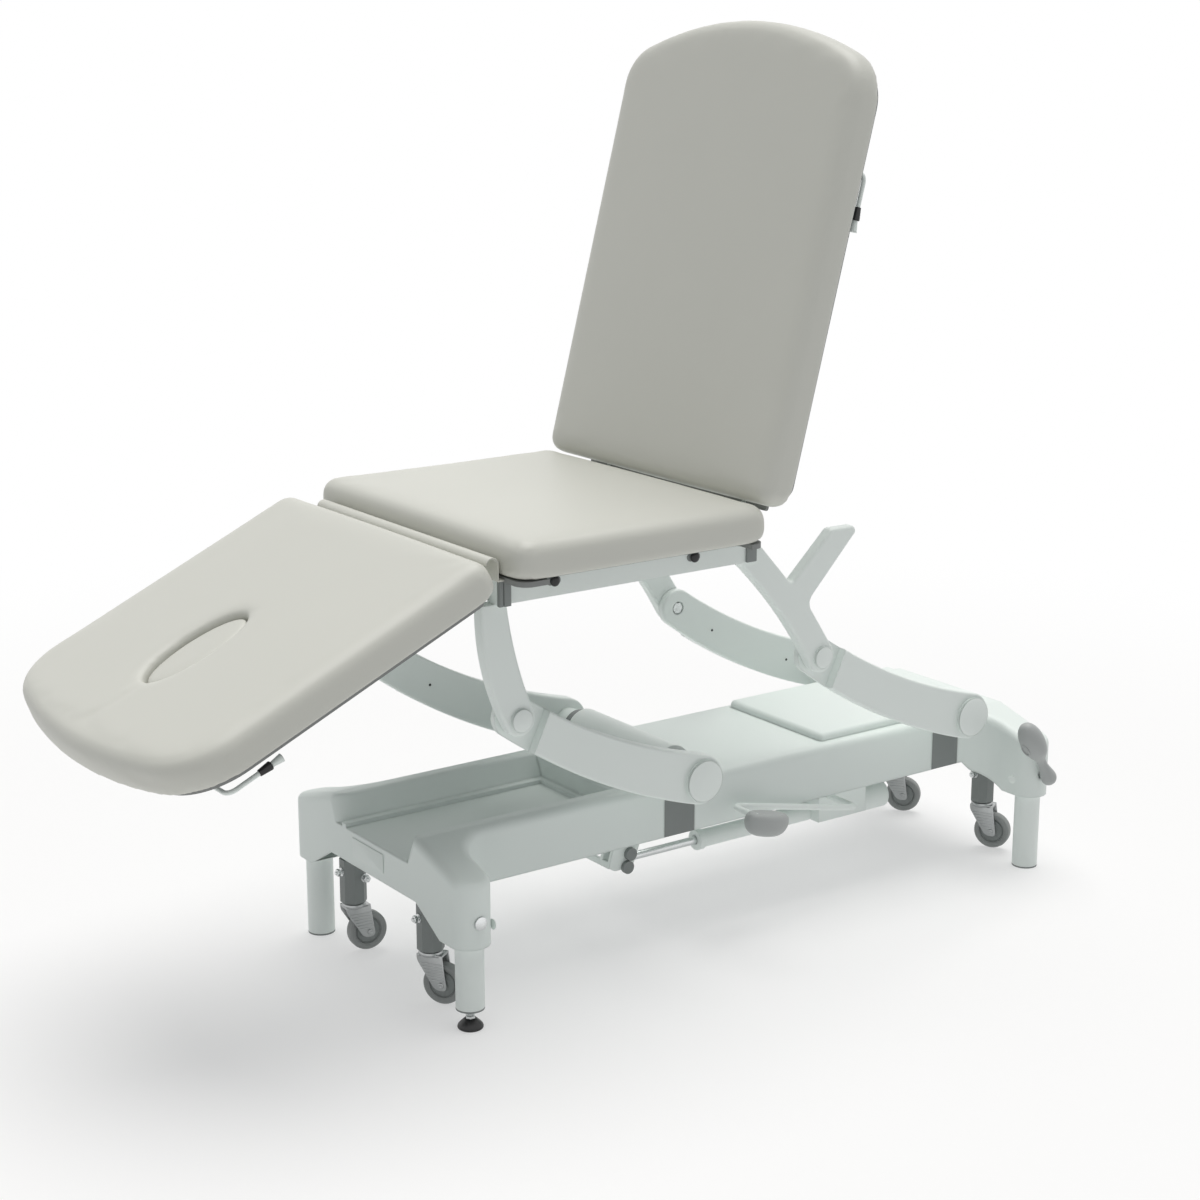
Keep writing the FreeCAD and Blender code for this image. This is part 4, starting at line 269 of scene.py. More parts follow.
# %% The couch's finishes
paint = make_finish("frame_paint", (0.86, 0.92, 0.89), 0.36, 900.0, 0.00006, tint=0.02, edge=3.0)
moulding = make_finish("base_moulding", (0.81, 0.875, 0.845), 0.42, 1400.0, 0.00005, tint=0.02, edge=7.0)
hatch_skin = make_finish("hatch_moulding", (0.81, 0.875, 0.845), 0.42, 1400.0, 0.00005, tint=0.02)
pale = make_finish("pale_caps", (0.87, 0.93, 0.90), 0.40, 1500.0, 0.00004, tint=0.02, edge=1.5)
grey = make_finish("grey_moulding", (0.235, 0.255, 0.25), 0.50, 1300.0, 0.00010, tint=0.06)
soft_grey = make_finish("pedal_moulding", (0.42, 0.44, 0.435), 0.42, 1300.0, 0.00010, tint=0.06)
black = make_finish("black_moulding", (0.018, 0.018, 0.019), 0.34, 1200.0, 0.00008, tint=0.15)
zinc = make_finish("plated_steel", (0.74, 0.76, 0.76), 0.30, 220.0, 0.00005, tint=0.08, patch=40.0,
                   metal=1.0, drawn=(1.0, 1.0, 9.0))
rubber = make_finish("tyre_rubber", (0.31, 0.325, 0.32), 0.58, 1100.0, 0.00012, tint=0.08, patch=30.0)
fork_steel = make_finish("fork_steel", (0.44, 0.455, 0.455), 0.36, 260.0, 0.00005, tint=0.10, patch=50.0,
                         metal=1.0)
ply = make_finish("board_edge", (0.24, 0.25, 0.245), 0.62, 350.0, 0.00008, tint=0.08, drawn=(1.0, 1.0, 6.0))
vinyl = make_finish("pad_vinyl", (0.64, 0.645, 0.592), 0.44, 1600.0, 0.00010, tint=0.02, patch=3.5,
                    cells=900.0)
finishes = {"frame_paint": paint, "cover": moulding, "pale_plastic": pale, "grey_plastic": grey,
            "black_plastic": black, "zinc": zinc, "wheel_rubber": rubber, "board": ply, "vinyl": vinyl}
print("finishes", sorted(finishes))

# %% [markdown]
# ## Dressing the frame
# Every solid takes the finish of its material slot in the record. Its mesh is
# left as it is.

# %% Finish each solid
for part in frame["record"]["subparts"]:
    solid = nodes[part["node"]]
    if not solid.material_slots:
        solid.data.materials.append(None)
    for slot in solid.material_slots:
        slot.material = finishes[part["material_slot"]]

# %% [markdown]
# ## From bmesh to piece
# Small fittings are turned or pressed on the real couch. A turned one is a
# profile spun round an axis; a pressed one is an outline pulled to a thickness.
# Both get soft edges from a bevel, and are then set in place.


# %% Helpers for turned and pressed pieces
def aimed(point, direction):
    """Where local Z runs along a direction from a point in millimetres."""
    turn = Vector(direction).to_track_quat("Z", "Y").to_matrix().to_4x4()
    return Matrix.Translation(Vector(point) * MM) @ turn


def soften(bm, width, segments=2, angle=0.6):
    edges = [e for e in bm.edges if len(e.link_faces) == 2 and e.calc_face_angle() > angle]
    bmesh.ops.bevel(bm, geom=edges, offset=width * MM, affect="EDGES", segments=segments, profile=0.5,
                    material=-1)


def set_down(bm, place, finish):
    """Moves a form to its place and gives it one of its piece's finishes."""
    bmesh.ops.transform(bm, matrix=place, verts=bm.verts)
    for face in bm.faces:
        face.material_index = finish
    return bm


def turned(profile, place, edge=0.0, steps=40, finish=0):
    """A profile of (radius, height) points in millimetres, spun round local Z."""
    bm = bmesh.new()
    points = [bm.verts.new((r * MM, 0.0, h * MM)) for r, h in profile]
    lines = [bm.edges.new(pair) for pair in zip(points, points[1:])]
    bmesh.ops.spin(bm, geom=points + lines, cent=(0, 0, 0), axis=(0, 0, 1), angle=math.tau, steps=steps,
                   use_merge=True)
    bmesh.ops.remove_doubles(bm, verts=bm.verts, dist=1e-6)
    bmesh.ops.recalc_face_normals(bm, faces=bm.faces)
    if edge:
        soften(bm, edge)
    return set_down(bm, place, finish)


def pressed(outline, rounds, depth, place, edge, finish=0):
    """An outline of (x, y) points in millimetres, with rounded corners, pulled up along local Z."""
    bm = bmesh.new()
    points = [bm.verts.new((x * MM, y * MM, 0.0)) for x, y in outline]
    bm.faces.new(points)
    for point, r in zip(points, rounds):
        if r:
            bmesh.ops.bevel(bm, geom=[point], offset=r * MM, affect="VERTICES", segments=6, profile=0.5,
                            material=-1)
    pulled = bmesh.ops.extrude_face_region(bm, geom=list(bm.faces))
    lifted = [v for v in pulled["geom"] if isinstance(v, bmesh.types.BMVert)]
    bmesh.ops.translate(bm, vec=(0, 0, depth * MM), verts=lifted)
    bmesh.ops.recalc_face_normals(bm, faces=bm.faces)
    if edge:
        soften(bm, edge)
    return set_down(bm, place, finish)


def make_piece(name, body, looks, forms, sharp=38):
    """Joins finished forms into one piece that rides on a body."""
    whole = bmesh.new()
    for form in forms:
        carrier = bpy.data.meshes.new("carrier")
        form.to_mesh(carrier)
        form.free()
        whole.from_mesh(carrier)
        bpy.data.meshes.remove(carrier)
    mesh = bpy.data.meshes.new(name)
    whole.to_mesh(mesh)
    whole.free()
    for look in looks:
        mesh.materials.append(look)
    mesh.polygons.foreach_set("use_smooth", [True] * len(mesh.polygons))
    mesh.set_sharp_from_angle(angle=math.radians(sharp))
    piece = bpy.data.objects.new(name, mesh)
    scene.collection.objects.link(piece)
    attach(piece, body)
    print(name, len(mesh.polygons), "faces")
    return piece


# %% [markdown]
# ## Upholstery
# The pads are foam on a board, covered in smooth vinyl with bullnose edges. Each
# one starts as a copy of its solid, laid flat, remeshed into small even cells and
# shrunk a little. Then the cover is blown up against its board as cloth under
# pressure, which gives the slight crown and the soft roll of the edge.


# %% Laying a pad flat and remeshing it
STAPLED_RIM = 9
HELD_RIM = 4
CLOTH_FRAMES = 20


def laid_flat(node, up):
    """A copy of a solid's mesh, turned so that its upper side faces up, and that turn."""
    lie = Vector(up).rotation_difference(Vector((0, 0, 1))).to_matrix().to_4x4()
    bm = bmesh.new()
    bm.from_mesh(nodes[node].data)
    bmesh.ops.remove_doubles(bm, verts=bm.verts, dist=1e-5)
    bmesh.ops.transform(bm, matrix=lie, verts=bm.verts)
    return bm, lie


def even_cells(pad, cell):
    grid = pad.modifiers.new("cells", "REMESH")
    grid.mode = "VOXEL"
    grid.voxel_size = cell * MM
    settled = pad.evaluated_get(bpy.context.evaluated_depsgraph_get())
    pad.data = bpy.data.meshes.new_from_object(settled)
    pad.modifiers.clear()


def fair(mesh, rounds, inward):
    """Smooths and shrinks a pad, all but the rim that is stapled to its board."""
    bm = bmesh.new()
    bm.from_mesh(mesh)
    low = min(v.co.z for v in bm.verts)
    free = [v for v in bm.verts if v.co.z > low + STAPLED_RIM * MM]
    for _ in range(rounds):
        bmesh.ops.smooth_vert(bm, verts=free, factor=0.5, use_axis_x=True, use_axis_y=True, use_axis_z=True)
    bm.normal_update()
    for vert in free:
        vert.co -= vert.normal * inward * MM
    bm.to_mesh(mesh)
    bm.free()


def span(points, axis):
    """The middle and the half width of a form along an axis."""
    least = min(p.co[axis] for p in points)
    most = max(p.co[axis] for p in points)
    return (least + most) / 2, (most - least) / 2


def drawn_in(points, radius):
    """Narrows the lowest part of a lying form, so that its side turns under in an arc."""
    low = min(p.co.z for p in points)
    spans = [span(points, axis) for axis in (0, 1)]
    for point in points:
        left = max(0.0, radius * MM - (point.co.z - low))
        inset = radius * MM - math.sqrt((radius * MM) ** 2 - left ** 2)
        for axis, (middle, half) in enumerate(spans):
            point.co[axis] = middle + (point.co[axis] - middle) * (1 - inset / half)


def blow_up(pad, cap):
    """Cloth under pressure, held on the board, with each point's travel capped."""
    mesh = pad.data
    rest = [v.co.copy() for v in mesh.vertices]
    low = min(p.z for p in rest)
    held = pad.vertex_groups.new(name="on_board")
    held.add([i for i, p in enumerate(rest) if p.z < low + HELD_RIM * MM], 1.0, "REPLACE")
    cover = pad.modifiers.new("cover", "CLOTH")
    cloth = cover.settings
    cloth.quality = 5
    cloth.mass = 0.3
    cloth.tension_stiffness = 40
    cloth.compression_stiffness = 40
    cloth.shear_stiffness = 12
    cloth.bending_stiffness = 4.0
    cloth.use_pressure = True
    cloth.uniform_pressure_force = 2.5
    cloth.vertex_group_mass = "on_board"
    cloth.effector_weights.gravity = 0.0
    cover.point_cache.frame_start = 1
    cover.point_cache.frame_end = CLOTH_FRAMES
    for step in range(1, CLOTH_FRAMES + 1):
        scene.frame_set(step)
    blown = pad.evaluated_get(bpy.context.evaluated_depsgraph_get()).to_mesh()
    moved = [v.co.copy() for v in blown.vertices]
    pad.modifiers.clear()
    scene.frame_set(1)
    for vert, start, end in zip(mesh.vertices, rest, moved):
        travel = end - start
        if travel.length > cap * MM:
            travel = travel.normalized() * cap * MM
        vert.co = start + travel


def upholster(name, node, body, up, cell=7.0, inward=0.6, cap=1.6, under=18.0):
    """Covers a cushion: cells, turned-under edge, smoothing, then the blown cover."""
    bm, lie = laid_flat(node, up)
    mesh = bpy.data.meshes.new(name)
    bm.to_mesh(mesh)
    bm.free()
    pad = bpy.data.objects.new(name, mesh)
    scene.collection.objects.link(pad)
    even_cells(pad, cell)
    if under:
        drawn_in(pad.data.vertices, under)
    fair(pad.data, 2, inward)
    blow_up(pad, cap)
    fair(pad.data, 2, 0.0)
    pad.data.transform(lie.inverted())
    pad.data.polygons.foreach_set("use_smooth", [True] * len(pad.data.polygons))
    pad.data.materials.clear()
    pad.data.materials.append(vinyl)
    finer = pad.modifiers.new("finer", "SUBSURF")
    finer.levels = 1
    finer.render_levels = 1
    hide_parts(node)
    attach(pad, body)
    print(name, len(pad.data.polygons), "cells")
    return pad


# %% The pads
upholster("seat_pad", "seat_cushion", "seat", (0, 0, 1))
upholster("leg_pad", "leg_cushion", "leg_section", leg_up)
upholster("back_pad", "back_cushion", "back_section", back_up)
upholster("breathing_hole_pad", "face_plug", "face_plug", leg_up, cell=4.0, cap=1.2, under=0.0)

# %% [markdown]
# ## Boards of the leg section and the backrest
# The pads turn under at their lower edges, and their boards show below as a thin
# grey lip. Each board starts as a copy of its solid, laid flat, and is drawn in to
# where the turned edge ends.


# %% Boards
def slim_board(name, node, body, up, inset):
    """A board drawn in by an inset all round."""
    bm, lie = laid_flat(node, up)
    for axis in (0, 1):
        middle, half = span(bm.verts, axis)
        for vert in bm.verts:
            vert.co[axis] = middle + (vert.co[axis] - middle) * (1 - inset * MM / half)
    bmesh.ops.transform(bm, matrix=lie.inverted(), verts=bm.verts)
    board = make_piece(name, body, [ply], [bm])
    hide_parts(node)


slim_board("leg_lip", "leg_board", "leg_section", leg_up, inset=15)
slim_board("back_lip", "back_board", "back_section", back_up, inset=13)

# %% [markdown]
# ## Hinge roll and back skirt
# A rolled strip of the same vinyl closes the gap over the front hinge: it rises
# from the seat board and curls over the hinge towards the leg pad. Behind the
# seat a flat dark grey skirt continues the back board downwards. It is partly the
# board's lower end and partly painted shade: a dark sheet in the gap between the
# two pads, where only shade shows. Both have one section all along, so each is an
# outline pulled out.

# %% Hinge roll
ROLL_HALF = 286
ROLL_OUTER = 13.0
ROLL_INNER = 10.8
ARC_STEP = 7.5
ARC_STEPS = 24
roll_middle = Vector((-0.6, 0.0))


def roll_point(radius, degrees):
    angle = math.radians(degrees)
    return roll_middle.x + radius * math.cos(angle), roll_middle.y + radius * math.sin(angle)


roll = [(12.4, -27.4)]
roll += [roll_point(ROLL_OUTER, step * ARC_STEP) for step in range(ARC_STEPS + 1)]
roll += [roll_point(ROLL_INNER, (ARC_STEPS - step) * ARC_STEP) for step in range(ARC_STEPS + 1)]
roll += [(10.2, -30), (23.5, -30), (23.5, -27.4)]
roll_place = Matrix(((1, 0, 0, LEG_HINGE.x * MM), (0, 0, -1, ROLL_HALF * MM), (0, 1, 0, LEG_HINGE.z * MM),
                     (0, 0, 0, 1)))
hinge_roll = make_piece("hinge_roll", "seat", [vinyl],
                        [pressed(roll, [0] * len(roll), 2 * ROLL_HALF, roll_place, 0.8)], sharp=50)
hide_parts("hinge_strip")

# %% Back skirt, partly the board's end and partly painted shade
SKIRT_HALF = 272
SKIRT_FROM = 22
SKIRT_TO = 39
SKIRT_DROP = 32
SKIRT_THICK = 7
skirt_turn = Matrix.Rotation(-BACK_LEAN, 4, "Y")
skirt_sink = Matrix.Translation((0, 0, -SKIRT_DROP * MM))
skirt_place = Matrix.Translation(BACK_HINGE * MM) @ skirt_turn @ skirt_sink
skirt_outline = [(SKIRT_FROM, -SKIRT_HALF), (SKIRT_TO, -SKIRT_HALF), (SKIRT_TO, SKIRT_HALF),
                 (SKIRT_FROM, SKIRT_HALF)]
# A dark grey sheet in the board's finish: partly the board's lower end, partly painted shade that fills the
# gap behind the seat pad.
skirt_and_painted_shade = pressed(skirt_outline, [5, 0, 0, 5], SKIRT_THICK, skirt_place, 1.0)
make_piece("back_skirt_and_painted_shade", "back_section", [ply], [skirt_and_painted_shade])

# %% [markdown]
# ## Castors
# A castor is a grey rubber wheel in a pressed, zinc plated fork that swivels
# under its carrier. The wheel is turned, with a groove round its hub. The fork
# is two ribbed cheeks under a turned swivel head, with a riveted axle.

# %% Castor sizes
CASTOR_Y = 137
TRAIL = 25.0
AXLE_Z = 41.5
HUB_RADIUS = 24.2
CHEEK_Y = 16.0
CHEEK_THICK = 3.0
BRIDGE_Z = 92
BRIDGE_THICK = 4.5
RIB_Y = 16.2
RIB_THICK = 1.6
RIB_HIGH = 2.6
RIB_MARGIN = 5
corners = {"near_left": (CASTOR_FRONT_X, -CASTOR_Y, -55.0), "far_left": (CASTOR_FRONT_X, CASTOR_Y, -5.0),
           "near_right": (CASTOR_REAR_X, -CASTOR_Y, -60.0), "far_right": (CASTOR_REAR_X, CASTOR_Y, -50.0)}
wheel_half = [(6, -10), (12, -10), (13, -8.4), (22, -7.8), (23, -5.5), (25, -5.5), (26, -8.6), (30, -10.1),
              (34.4, -10.9), (36.6, -9.4), (37.4, -6.0)]
wheel_profile = wheel_half + [(r, -h) for r, h in reversed(wheel_half)] + wheel_half[:1]
cheek_top = 97
cheek_bend = 86
cheek_foot = 31.5
cheek_rear = -21
cheek_front = 27
toe_rear = 13
toe_front = 36.5
cheek_outline = [(cheek_rear, cheek_top), (cheek_rear, cheek_bend), (toe_rear, cheek_foot),
                 (toe_front, cheek_foot), (cheek_front, cheek_top)]
cheek_rounds = [0, 6, 9, 9, 0]
rib_heights = (50, 56, 62, 68, 74, 80)
head_profile = [(0, 91), (16, 91), (21, 93.5), (22.3, 97.5), (21, 101), (16.5, 102.6), (0, 102.6)]
ring_profile = [(10, 102.3), (17.5, 102.3), (17.5, 103.4), (10, 103.4), (10, 102.3)]
axle_profile = [(0, -17.6), (2.2, -17.6), (2.7, -18.5), (5.0, -18.1), (5.8, -16), (3.8, -16),
                (3.8, 16), (5.8, 16), (5.0, 18.1), (2.7, 18.5), (2.2, 17.6), (0, 17.6)]
print("castors", sorted(corners))


# %% One castor
def rib(height, side):
    """A ridge across a cheek, from its sloping rear edge to its front edge."""
    left = cheek_rear + (cheek_bend - height) * (toe_rear - cheek_rear) / (cheek_bend - cheek_foot)
    right = toe_front - (height - cheek_foot) * (toe_front - cheek_front) / (cheek_top - cheek_foot)
    bm = bmesh.new()
    bmesh.ops.create_cube(bm, size=MM)
    bmesh.ops.scale(bm, vec=(right - left - RIB_MARGIN, RIB_THICK, RIB_HIGH), verts=bm.verts)
    soften(bm, 0.5)
    bmesh.ops.translate(bm, vec=Vector(((left + right) / 2, side * RIB_Y, height)) * MM, verts=bm.verts)
    return bm


def castor(label, x, y, heading):
    turn = Matrix.Translation(Vector((x, y, 0)) * MM) @ Matrix.Rotation(math.radians(heading), 4, "Z")
    across = Matrix.Rotation(math.radians(-90), 4, "X")
    axle = turn @ Matrix.Translation(Vector((TRAIL, 0, AXLE_Z)) * MM) @ across
    wheel = turned(wheel_profile, axle, edge=0.5, steps=64)
    for face in wheel.faces:
        away = (axle.inverted() @ face.calc_center_median()).to_2d().length
        face.material_index = 1 if away < HUB_RADIUS * MM else 0
    tyre = make_piece("tyre_" + label, "castor_wheel_" + label, [rubber, grey], [wheel])
    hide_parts("castor_wheel_" + label)
    forms = [turned(head_profile, turn, edge=0.6), turned(ring_profile, turn, finish=1),
             turned(axle_profile, axle, edge=0.3, steps=24)]
    upright = Matrix.Rotation(math.radians(90), 4, "X")
    for side in (-1, 1):
        face_y = CHEEK_Y if side > 0 else CHEEK_THICK - CHEEK_Y
        stand = turn @ Matrix.Translation(Vector((0, face_y, 0)) * MM) @ upright
        forms.append(pressed(cheek_outline, cheek_rounds, CHEEK_THICK, stand, 0.7))
        for height in rib_heights:
            ridge = rib(height, side)
            bmesh.ops.transform(ridge, matrix=turn, verts=ridge.verts)
            forms.append(ridge)
    bridge = turn @ Matrix.Translation(Vector((0, 0, BRIDGE_Z)) * MM)
    bridge_outline = [(cheek_rear, -CHEEK_Y), (cheek_front, -CHEEK_Y), (cheek_front, CHEEK_Y),
                      (cheek_rear, CHEEK_Y)]
    forms.append(pressed(bridge_outline, [5, 5, 5, 5], BRIDGE_THICK, bridge, 1.2))
    fork = make_piece("fork_" + label, "castor_swivel_" + label, [fork_steel, black], forms)
    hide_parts("castor_fork_" + label)


for label, (x, y, heading) in corners.items():
    castor(label, x, y, heading)

# %% [markdown]
# ## Bolts on the castor carriers
# Two clamp bolts stand out of each carrier, each with a washer and a six-sided
# nut. A nut is the same spin with only six steps.


# %% Carrier bolts
CARRIER_HALF = 23
FRONT_BOLT_Z = 165
SIDE_BOLT_Z = 153
SIDE_BOLT_OFF = 12


def clamp_bolt(point, direction):
    place = aimed(point, direction)
    shank = turned([(0, -1), (3.4, -1), (3.4, 13.4), (2.6, 14.4), (0, 14.4)], place, steps=20)
    washer = turned([(0, 0), (8.2, 0), (8.2, 1.6), (0, 1.6)], place, edge=0.3, steps=28)
    nut = turned([(0, 5.0), (6.6, 5.0), (7.2, 5.6), (7.2, 10.4), (6.6, 11.0), (0, 11.0)], place, steps=6)
    return [shank, washer, nut]


for label, (x, y, _) in corners.items():
    inner = -1 if y > 0 else 1
    forms = clamp_bolt((x - CARRIER_HALF, y, FRONT_BOLT_Z), (-1, 0, 0))
    forms += clamp_bolt((x + SIDE_BOLT_OFF, y + inner * CARRIER_HALF, SIDE_BOLT_Z), (0, inner, 0))
    make_piece("carrier_bolts_" + label, "castor_carrier_" + label, [zinc], forms)

# %% [markdown]
# ## Pedals
# The pump pedal carries a smooth pebble of grey plastic with a dished top. The
# castor pedal is a spoon: a round hub, a slim neck and an oval tread with a
# raised ring. Both are stacks of rounded rings, bridged and subdivided, which
# keeps them free of edges as the real mouldings are.


# %% Stacked rings
def stacked(rings, place, finish=0):
    """Ovals of (height, half length, half width, shift) along local Z, joined into one closed form."""
    bm = bmesh.new()
    loops = []
    for height, long, wide, shift in rings:
        made = bmesh.ops.create_circle(bm, segments=24, radius=MM)
        bmesh.ops.scale(bm, vec=(long, wide, 1), verts=made["verts"])
        bmesh.ops.translate(bm, vec=(shift * MM, 0, height * MM), verts=made["verts"])
        loops.append({e for v in made["verts"] for e in v.link_edges})
    for low, high in zip(loops, loops[1:]):
        bmesh.ops.bridge_loops(bm, edges=list(low | high))
    for end in (loops[0], loops[-1]):
        bmesh.ops.contextual_create(bm, geom=list(end))
    bmesh.ops.recalc_face_normals(bm, faces=bm.faces)
    return set_down(bm, place, finish)


def smoothed(piece, levels=2):
    finer = piece.modifiers.new("finer", "SUBSURF")
    finer.levels = levels
    finer.render_levels = levels


# %% Pump pedal tread
PEDAL_RISE = 68.5
PEDAL_RUN = 316.0
tread_middle = Vector((262, -258, 235))
tilt = Matrix.Rotation(math.atan2(PEDAL_RISE, PEDAL_RUN), 4, "Y")
tread_place = Matrix.Translation(tread_middle * MM) @ tilt
tread_rings = [(-27, 16, 7, 0), (-25.5, 29, 15, 0), (-20, 40, 22.5, 0), (-11, 47.5, 27, 0), (0, 50.5, 29, 0),
               (9, 49.5, 28.5, 0), (14.5, 46, 25.5, 0), (18, 40, 21, 0), (17.4, 34, 16.5, 0),
               (14.6, 23, 10, 0), (14.0, 8, 4, 0)]
tread = make_piece("pump_tread", "pump_pedal", [soft_grey],
                   [stacked(tread_rings, tread_place)], sharp=60)
smoothed(tread)
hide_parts("pump_pedal_pad")

# %% Castor pedal spoon
RING_ALONG = 98
RING_LIFT = 24.0
TREAD_ASIDE = -3
spoon_hub = Vector((CASTOR_REAR_X, -319.5, 205))
lever = Vector((-0.536, 0.0, 0.844))
spoon_turn = Matrix((Vector((0, 1, 0)), lever.cross(Vector((0, 1, 0))), lever)).transposed().to_4x4()
spoon_place = Matrix.Translation(spoon_hub * MM) @ spoon_turn
spoon_rings = [(-17, 6, 6, 0), (-14.5, 11, 12, 0), (-8, 14.5, 16, 0), (0, 15.5, 17, 0), (10, 14.5, 15, 0),
               (24, 12, 11, 0), (38, 10.5, 8.8, 0), (50, 11, 9, -0.5), (61, 17, 15, -1.5)]
tread_ovals = [(74, 23, 21.5), (92, 26, 25), (112, 26, 25), (130, 22, 21), (142, 14.5, 14), (148, 6, 6)]
spoon_rings += [(*oval, TREAD_ASIDE) for oval in tread_ovals]
ring_out = spoon_turn @ Vector((0, 1, 0))
ring_at = spoon_hub + lever * RING_ALONG + ring_out * RING_LIFT + Vector((0, TREAD_ASIDE, 0))
ring_place = Matrix.Translation(ring_at * MM) @ Matrix(
    (lever, ring_out.cross(lever), ring_out)).transposed().to_4x4()
ring_squash = Matrix.Diagonal((0.95, 0.62, 1.0, 1.0))
ring_form = turned([(13, -1.5), (17, -1.5), (17.4, 0.4), (15.6, 1.5), (13.6, 1.2), (12.4, 0.2), (13, -1.5)],
                   ring_squash)
bmesh.ops.transform(ring_form, matrix=ring_place, verts=ring_form.verts)
spoon = make_piece("castor_spoon", "rear_castor_shaft", [soft_grey],
                   [stacked(spoon_rings, spoon_place), ring_form], sharp=60)
smoothed(spoon)
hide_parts("castor_pedal")

# %% [markdown]
# ## Levelling foot
# Under the near front leg a black foot screws in and out to level the couch: a
# moulded cone, with a plated lock nut and a threaded stem above it. The thread is
# a zigzag profile, turned like the rest.

# %% Levelling foot
THREAD_ROOT = 4.9
THREAD_CREST = 5.9
THREAD_START = 22.5
THREAD_END = 77.5
THREAD_PITCH = 1.75
THREAD_TURNS = 26
FOOT_Y = -265
foot_place = Matrix.Translation(Vector((CASTOR_FRONT_X, FOOT_Y, 0)) * MM)
cone = [(0, 0), (20.5, 0), (22.4, 1.4), (23, 3.8), (22, 7.0), (18, 11.5), (12.6, 16.4), (10.4, 18.4),
        (8.0, 19.2), (0, 19.2)]
lock_nut = [(0, 18.6), (8.4, 18.6), (9.0, 19.2), (9.0, 22.8), (8.4, 23.4), (0, 23.4)]
stem = [(0, 20), (THREAD_ROOT, 22)]
for thread_turn in range(THREAD_TURNS):
    height = THREAD_START + thread_turn * THREAD_PITCH
    stem += [(THREAD_CREST, height), (THREAD_ROOT, height + THREAD_PITCH / 2)]
stem += [(THREAD_ROOT, THREAD_END), (0, THREAD_END)]
foot_forms = [turned(cone, foot_place, edge=0.6, steps=56), turned(lock_nut, foot_place, steps=6, finish=1),
              turned(stem, foot_place, steps=24, finish=1)]
foot = make_piece("black_foot", "levelling_foot", [black, zinc], foot_forms)
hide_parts("levelling_foot")

# %% [markdown]
# ## Small fittings
# Studs with keyhole plates stand on the seat rails, black grips end the release
# levers, shallow domes cap the pivots, screw heads close the arms, plugs close the
# bosses, and a thin hatch sits under the mouth of the tray. The ram's barrel ends
# in a collar, and grey caps close the ends of the seat rails.

# %% Rail studs
STUD_Z = 767
stud_places = (-213, 87)
slot_plate = [(-14, -7.5), (14, -7.5), (14, 7.5), (-14, 7.5)]
stud_profile = [(0, 1), (6.2, 1), (6.2, 3.0), (8.6, 3.4), (9.3, 4.8), (8.9, 6.8), (7.2, 8.4), (4.0, 9.3),
                (0, 9.6)]
stud_forms = []
for side in (-1, 1):
    for x in stud_places:
        place = aimed((x, side * RAIL_FACE_Y, STUD_Z), (0, side, 0))
        stud_forms.append(pressed(slot_plate, [7.2] * 4, 1.8, place, 0.5, finish=1))
        stud_forms.append(turned(stud_profile, place))
studs = make_piece("rail_studs", "seat", [black, grey], stud_forms)
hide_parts("rail_knobs")

# %% Rail end caps
FRONT_CAP_X = -327
FRONT_CAP_Z = 738
FRONT_CAP_HEIGHT = 49
REAR_CAP_X = 206
REAR_CAP_Z = 740
REAR_CAP_HEIGHT = 32
cap_forms = []


def rail_cap(side, from_x, to_x, height, corner, deep, place):
    outline = [(-side * from_x, 0), (-side * to_x, 0), (-side * to_x, height), (-side * from_x, height)]
    return pressed(outline, [corner] * 4, deep, place, 0.9)


for side in (-1, 1):
    turn = Matrix(((-side, 0, 0), (0, 0, side), (0, 1, 0))).to_4x4()
    front = Matrix.Translation(Vector((FRONT_CAP_X, side * RAIL_FACE_Y, FRONT_CAP_Z)) * MM) @ turn
    rear = Matrix.Translation(Vector((REAR_CAP_X, side * RAIL_FACE_Y, REAR_CAP_Z)) * MM) @ turn
    cap_forms.append(rail_cap(side, 0, 8.4, FRONT_CAP_HEIGHT, 1.2, 7.6, front))
    cap_forms.append(rail_cap(side, 9.0, 23, FRONT_CAP_HEIGHT, 1.2, 9.0, front))
    cap_forms.append(rail_cap(side, 0, 23, REAR_CAP_HEIGHT, 2, 4.5, rear))
end_caps = make_piece("rail_caps", "seat", [grey], cap_forms)
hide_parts("rail_end_caps")

# %% Release grips
GRIP_DROP = 56
LEG_GRIP_OUT = 518
BACK_GRIP_OUT = 580
release_side = Vector((0, RELEASE_Y, 0))
grip_profile = [(0, -0.5), (5.6, -0.5), (5.9, 1.5), (7.7, 20.5), (7.7, 22.2), (6.6, 23.4), (0, 23.4)]
leg_run = Vector((math.cos(LEG_LEAN), 0, math.sin(LEG_LEAN)))
leg_at = LEG_HINGE + release_side - leg_run * LEG_GRIP_OUT - Vector(leg_up) * GRIP_DROP
back_run = Vector((math.cos(BACK_LEAN), 0, math.sin(BACK_LEAN)))
back_at = BACK_HINGE + release_side + back_run * BACK_GRIP_OUT - Vector(back_up) * GRIP_DROP
make_piece("leg_grip", "leg_release", [black],
           [turned(grip_profile, aimed(leg_at, leg_run), edge=0.7, steps=28)])
make_piece("back_grip", "back_release", [black],
           [turned(grip_profile, aimed(back_at, -back_run), edge=0.7, steps=28)])


# %% Domed pivot caps
ARM_FACE_Y = 244
UPPER_CAP_Y = 249
ARM_DOME_RADIUS = 39.5
ARM_DOME_RISE = 5
PIVOT_DOME_RADIUS = 21
PIVOT_DOME_RISE = 3.2
DOME_SINK = 0.3
dome_curve = [(0.35, 0.88), (0.6, 0.64), (0.8, 0.36), (0.93, 0.13)]


def dome(point, side, radius, rise):
    """A shallow dome whose rim sinks a little below the face that it stands on."""
    slope = [(radius * out, rise * up) for out, up in dome_curve]
    profile = [(0, rise)] + slope + [(radius, -DOME_SINK), (0, -DOME_SINK)]
    return turned(profile, aimed(point, (0, side, 0)), steps=48)


def arm_dome(x, side):
    return dome((x, side * ARM_FACE_Y, LOWER_PIVOT_Z), side, ARM_DOME_RADIUS, ARM_DOME_RISE)


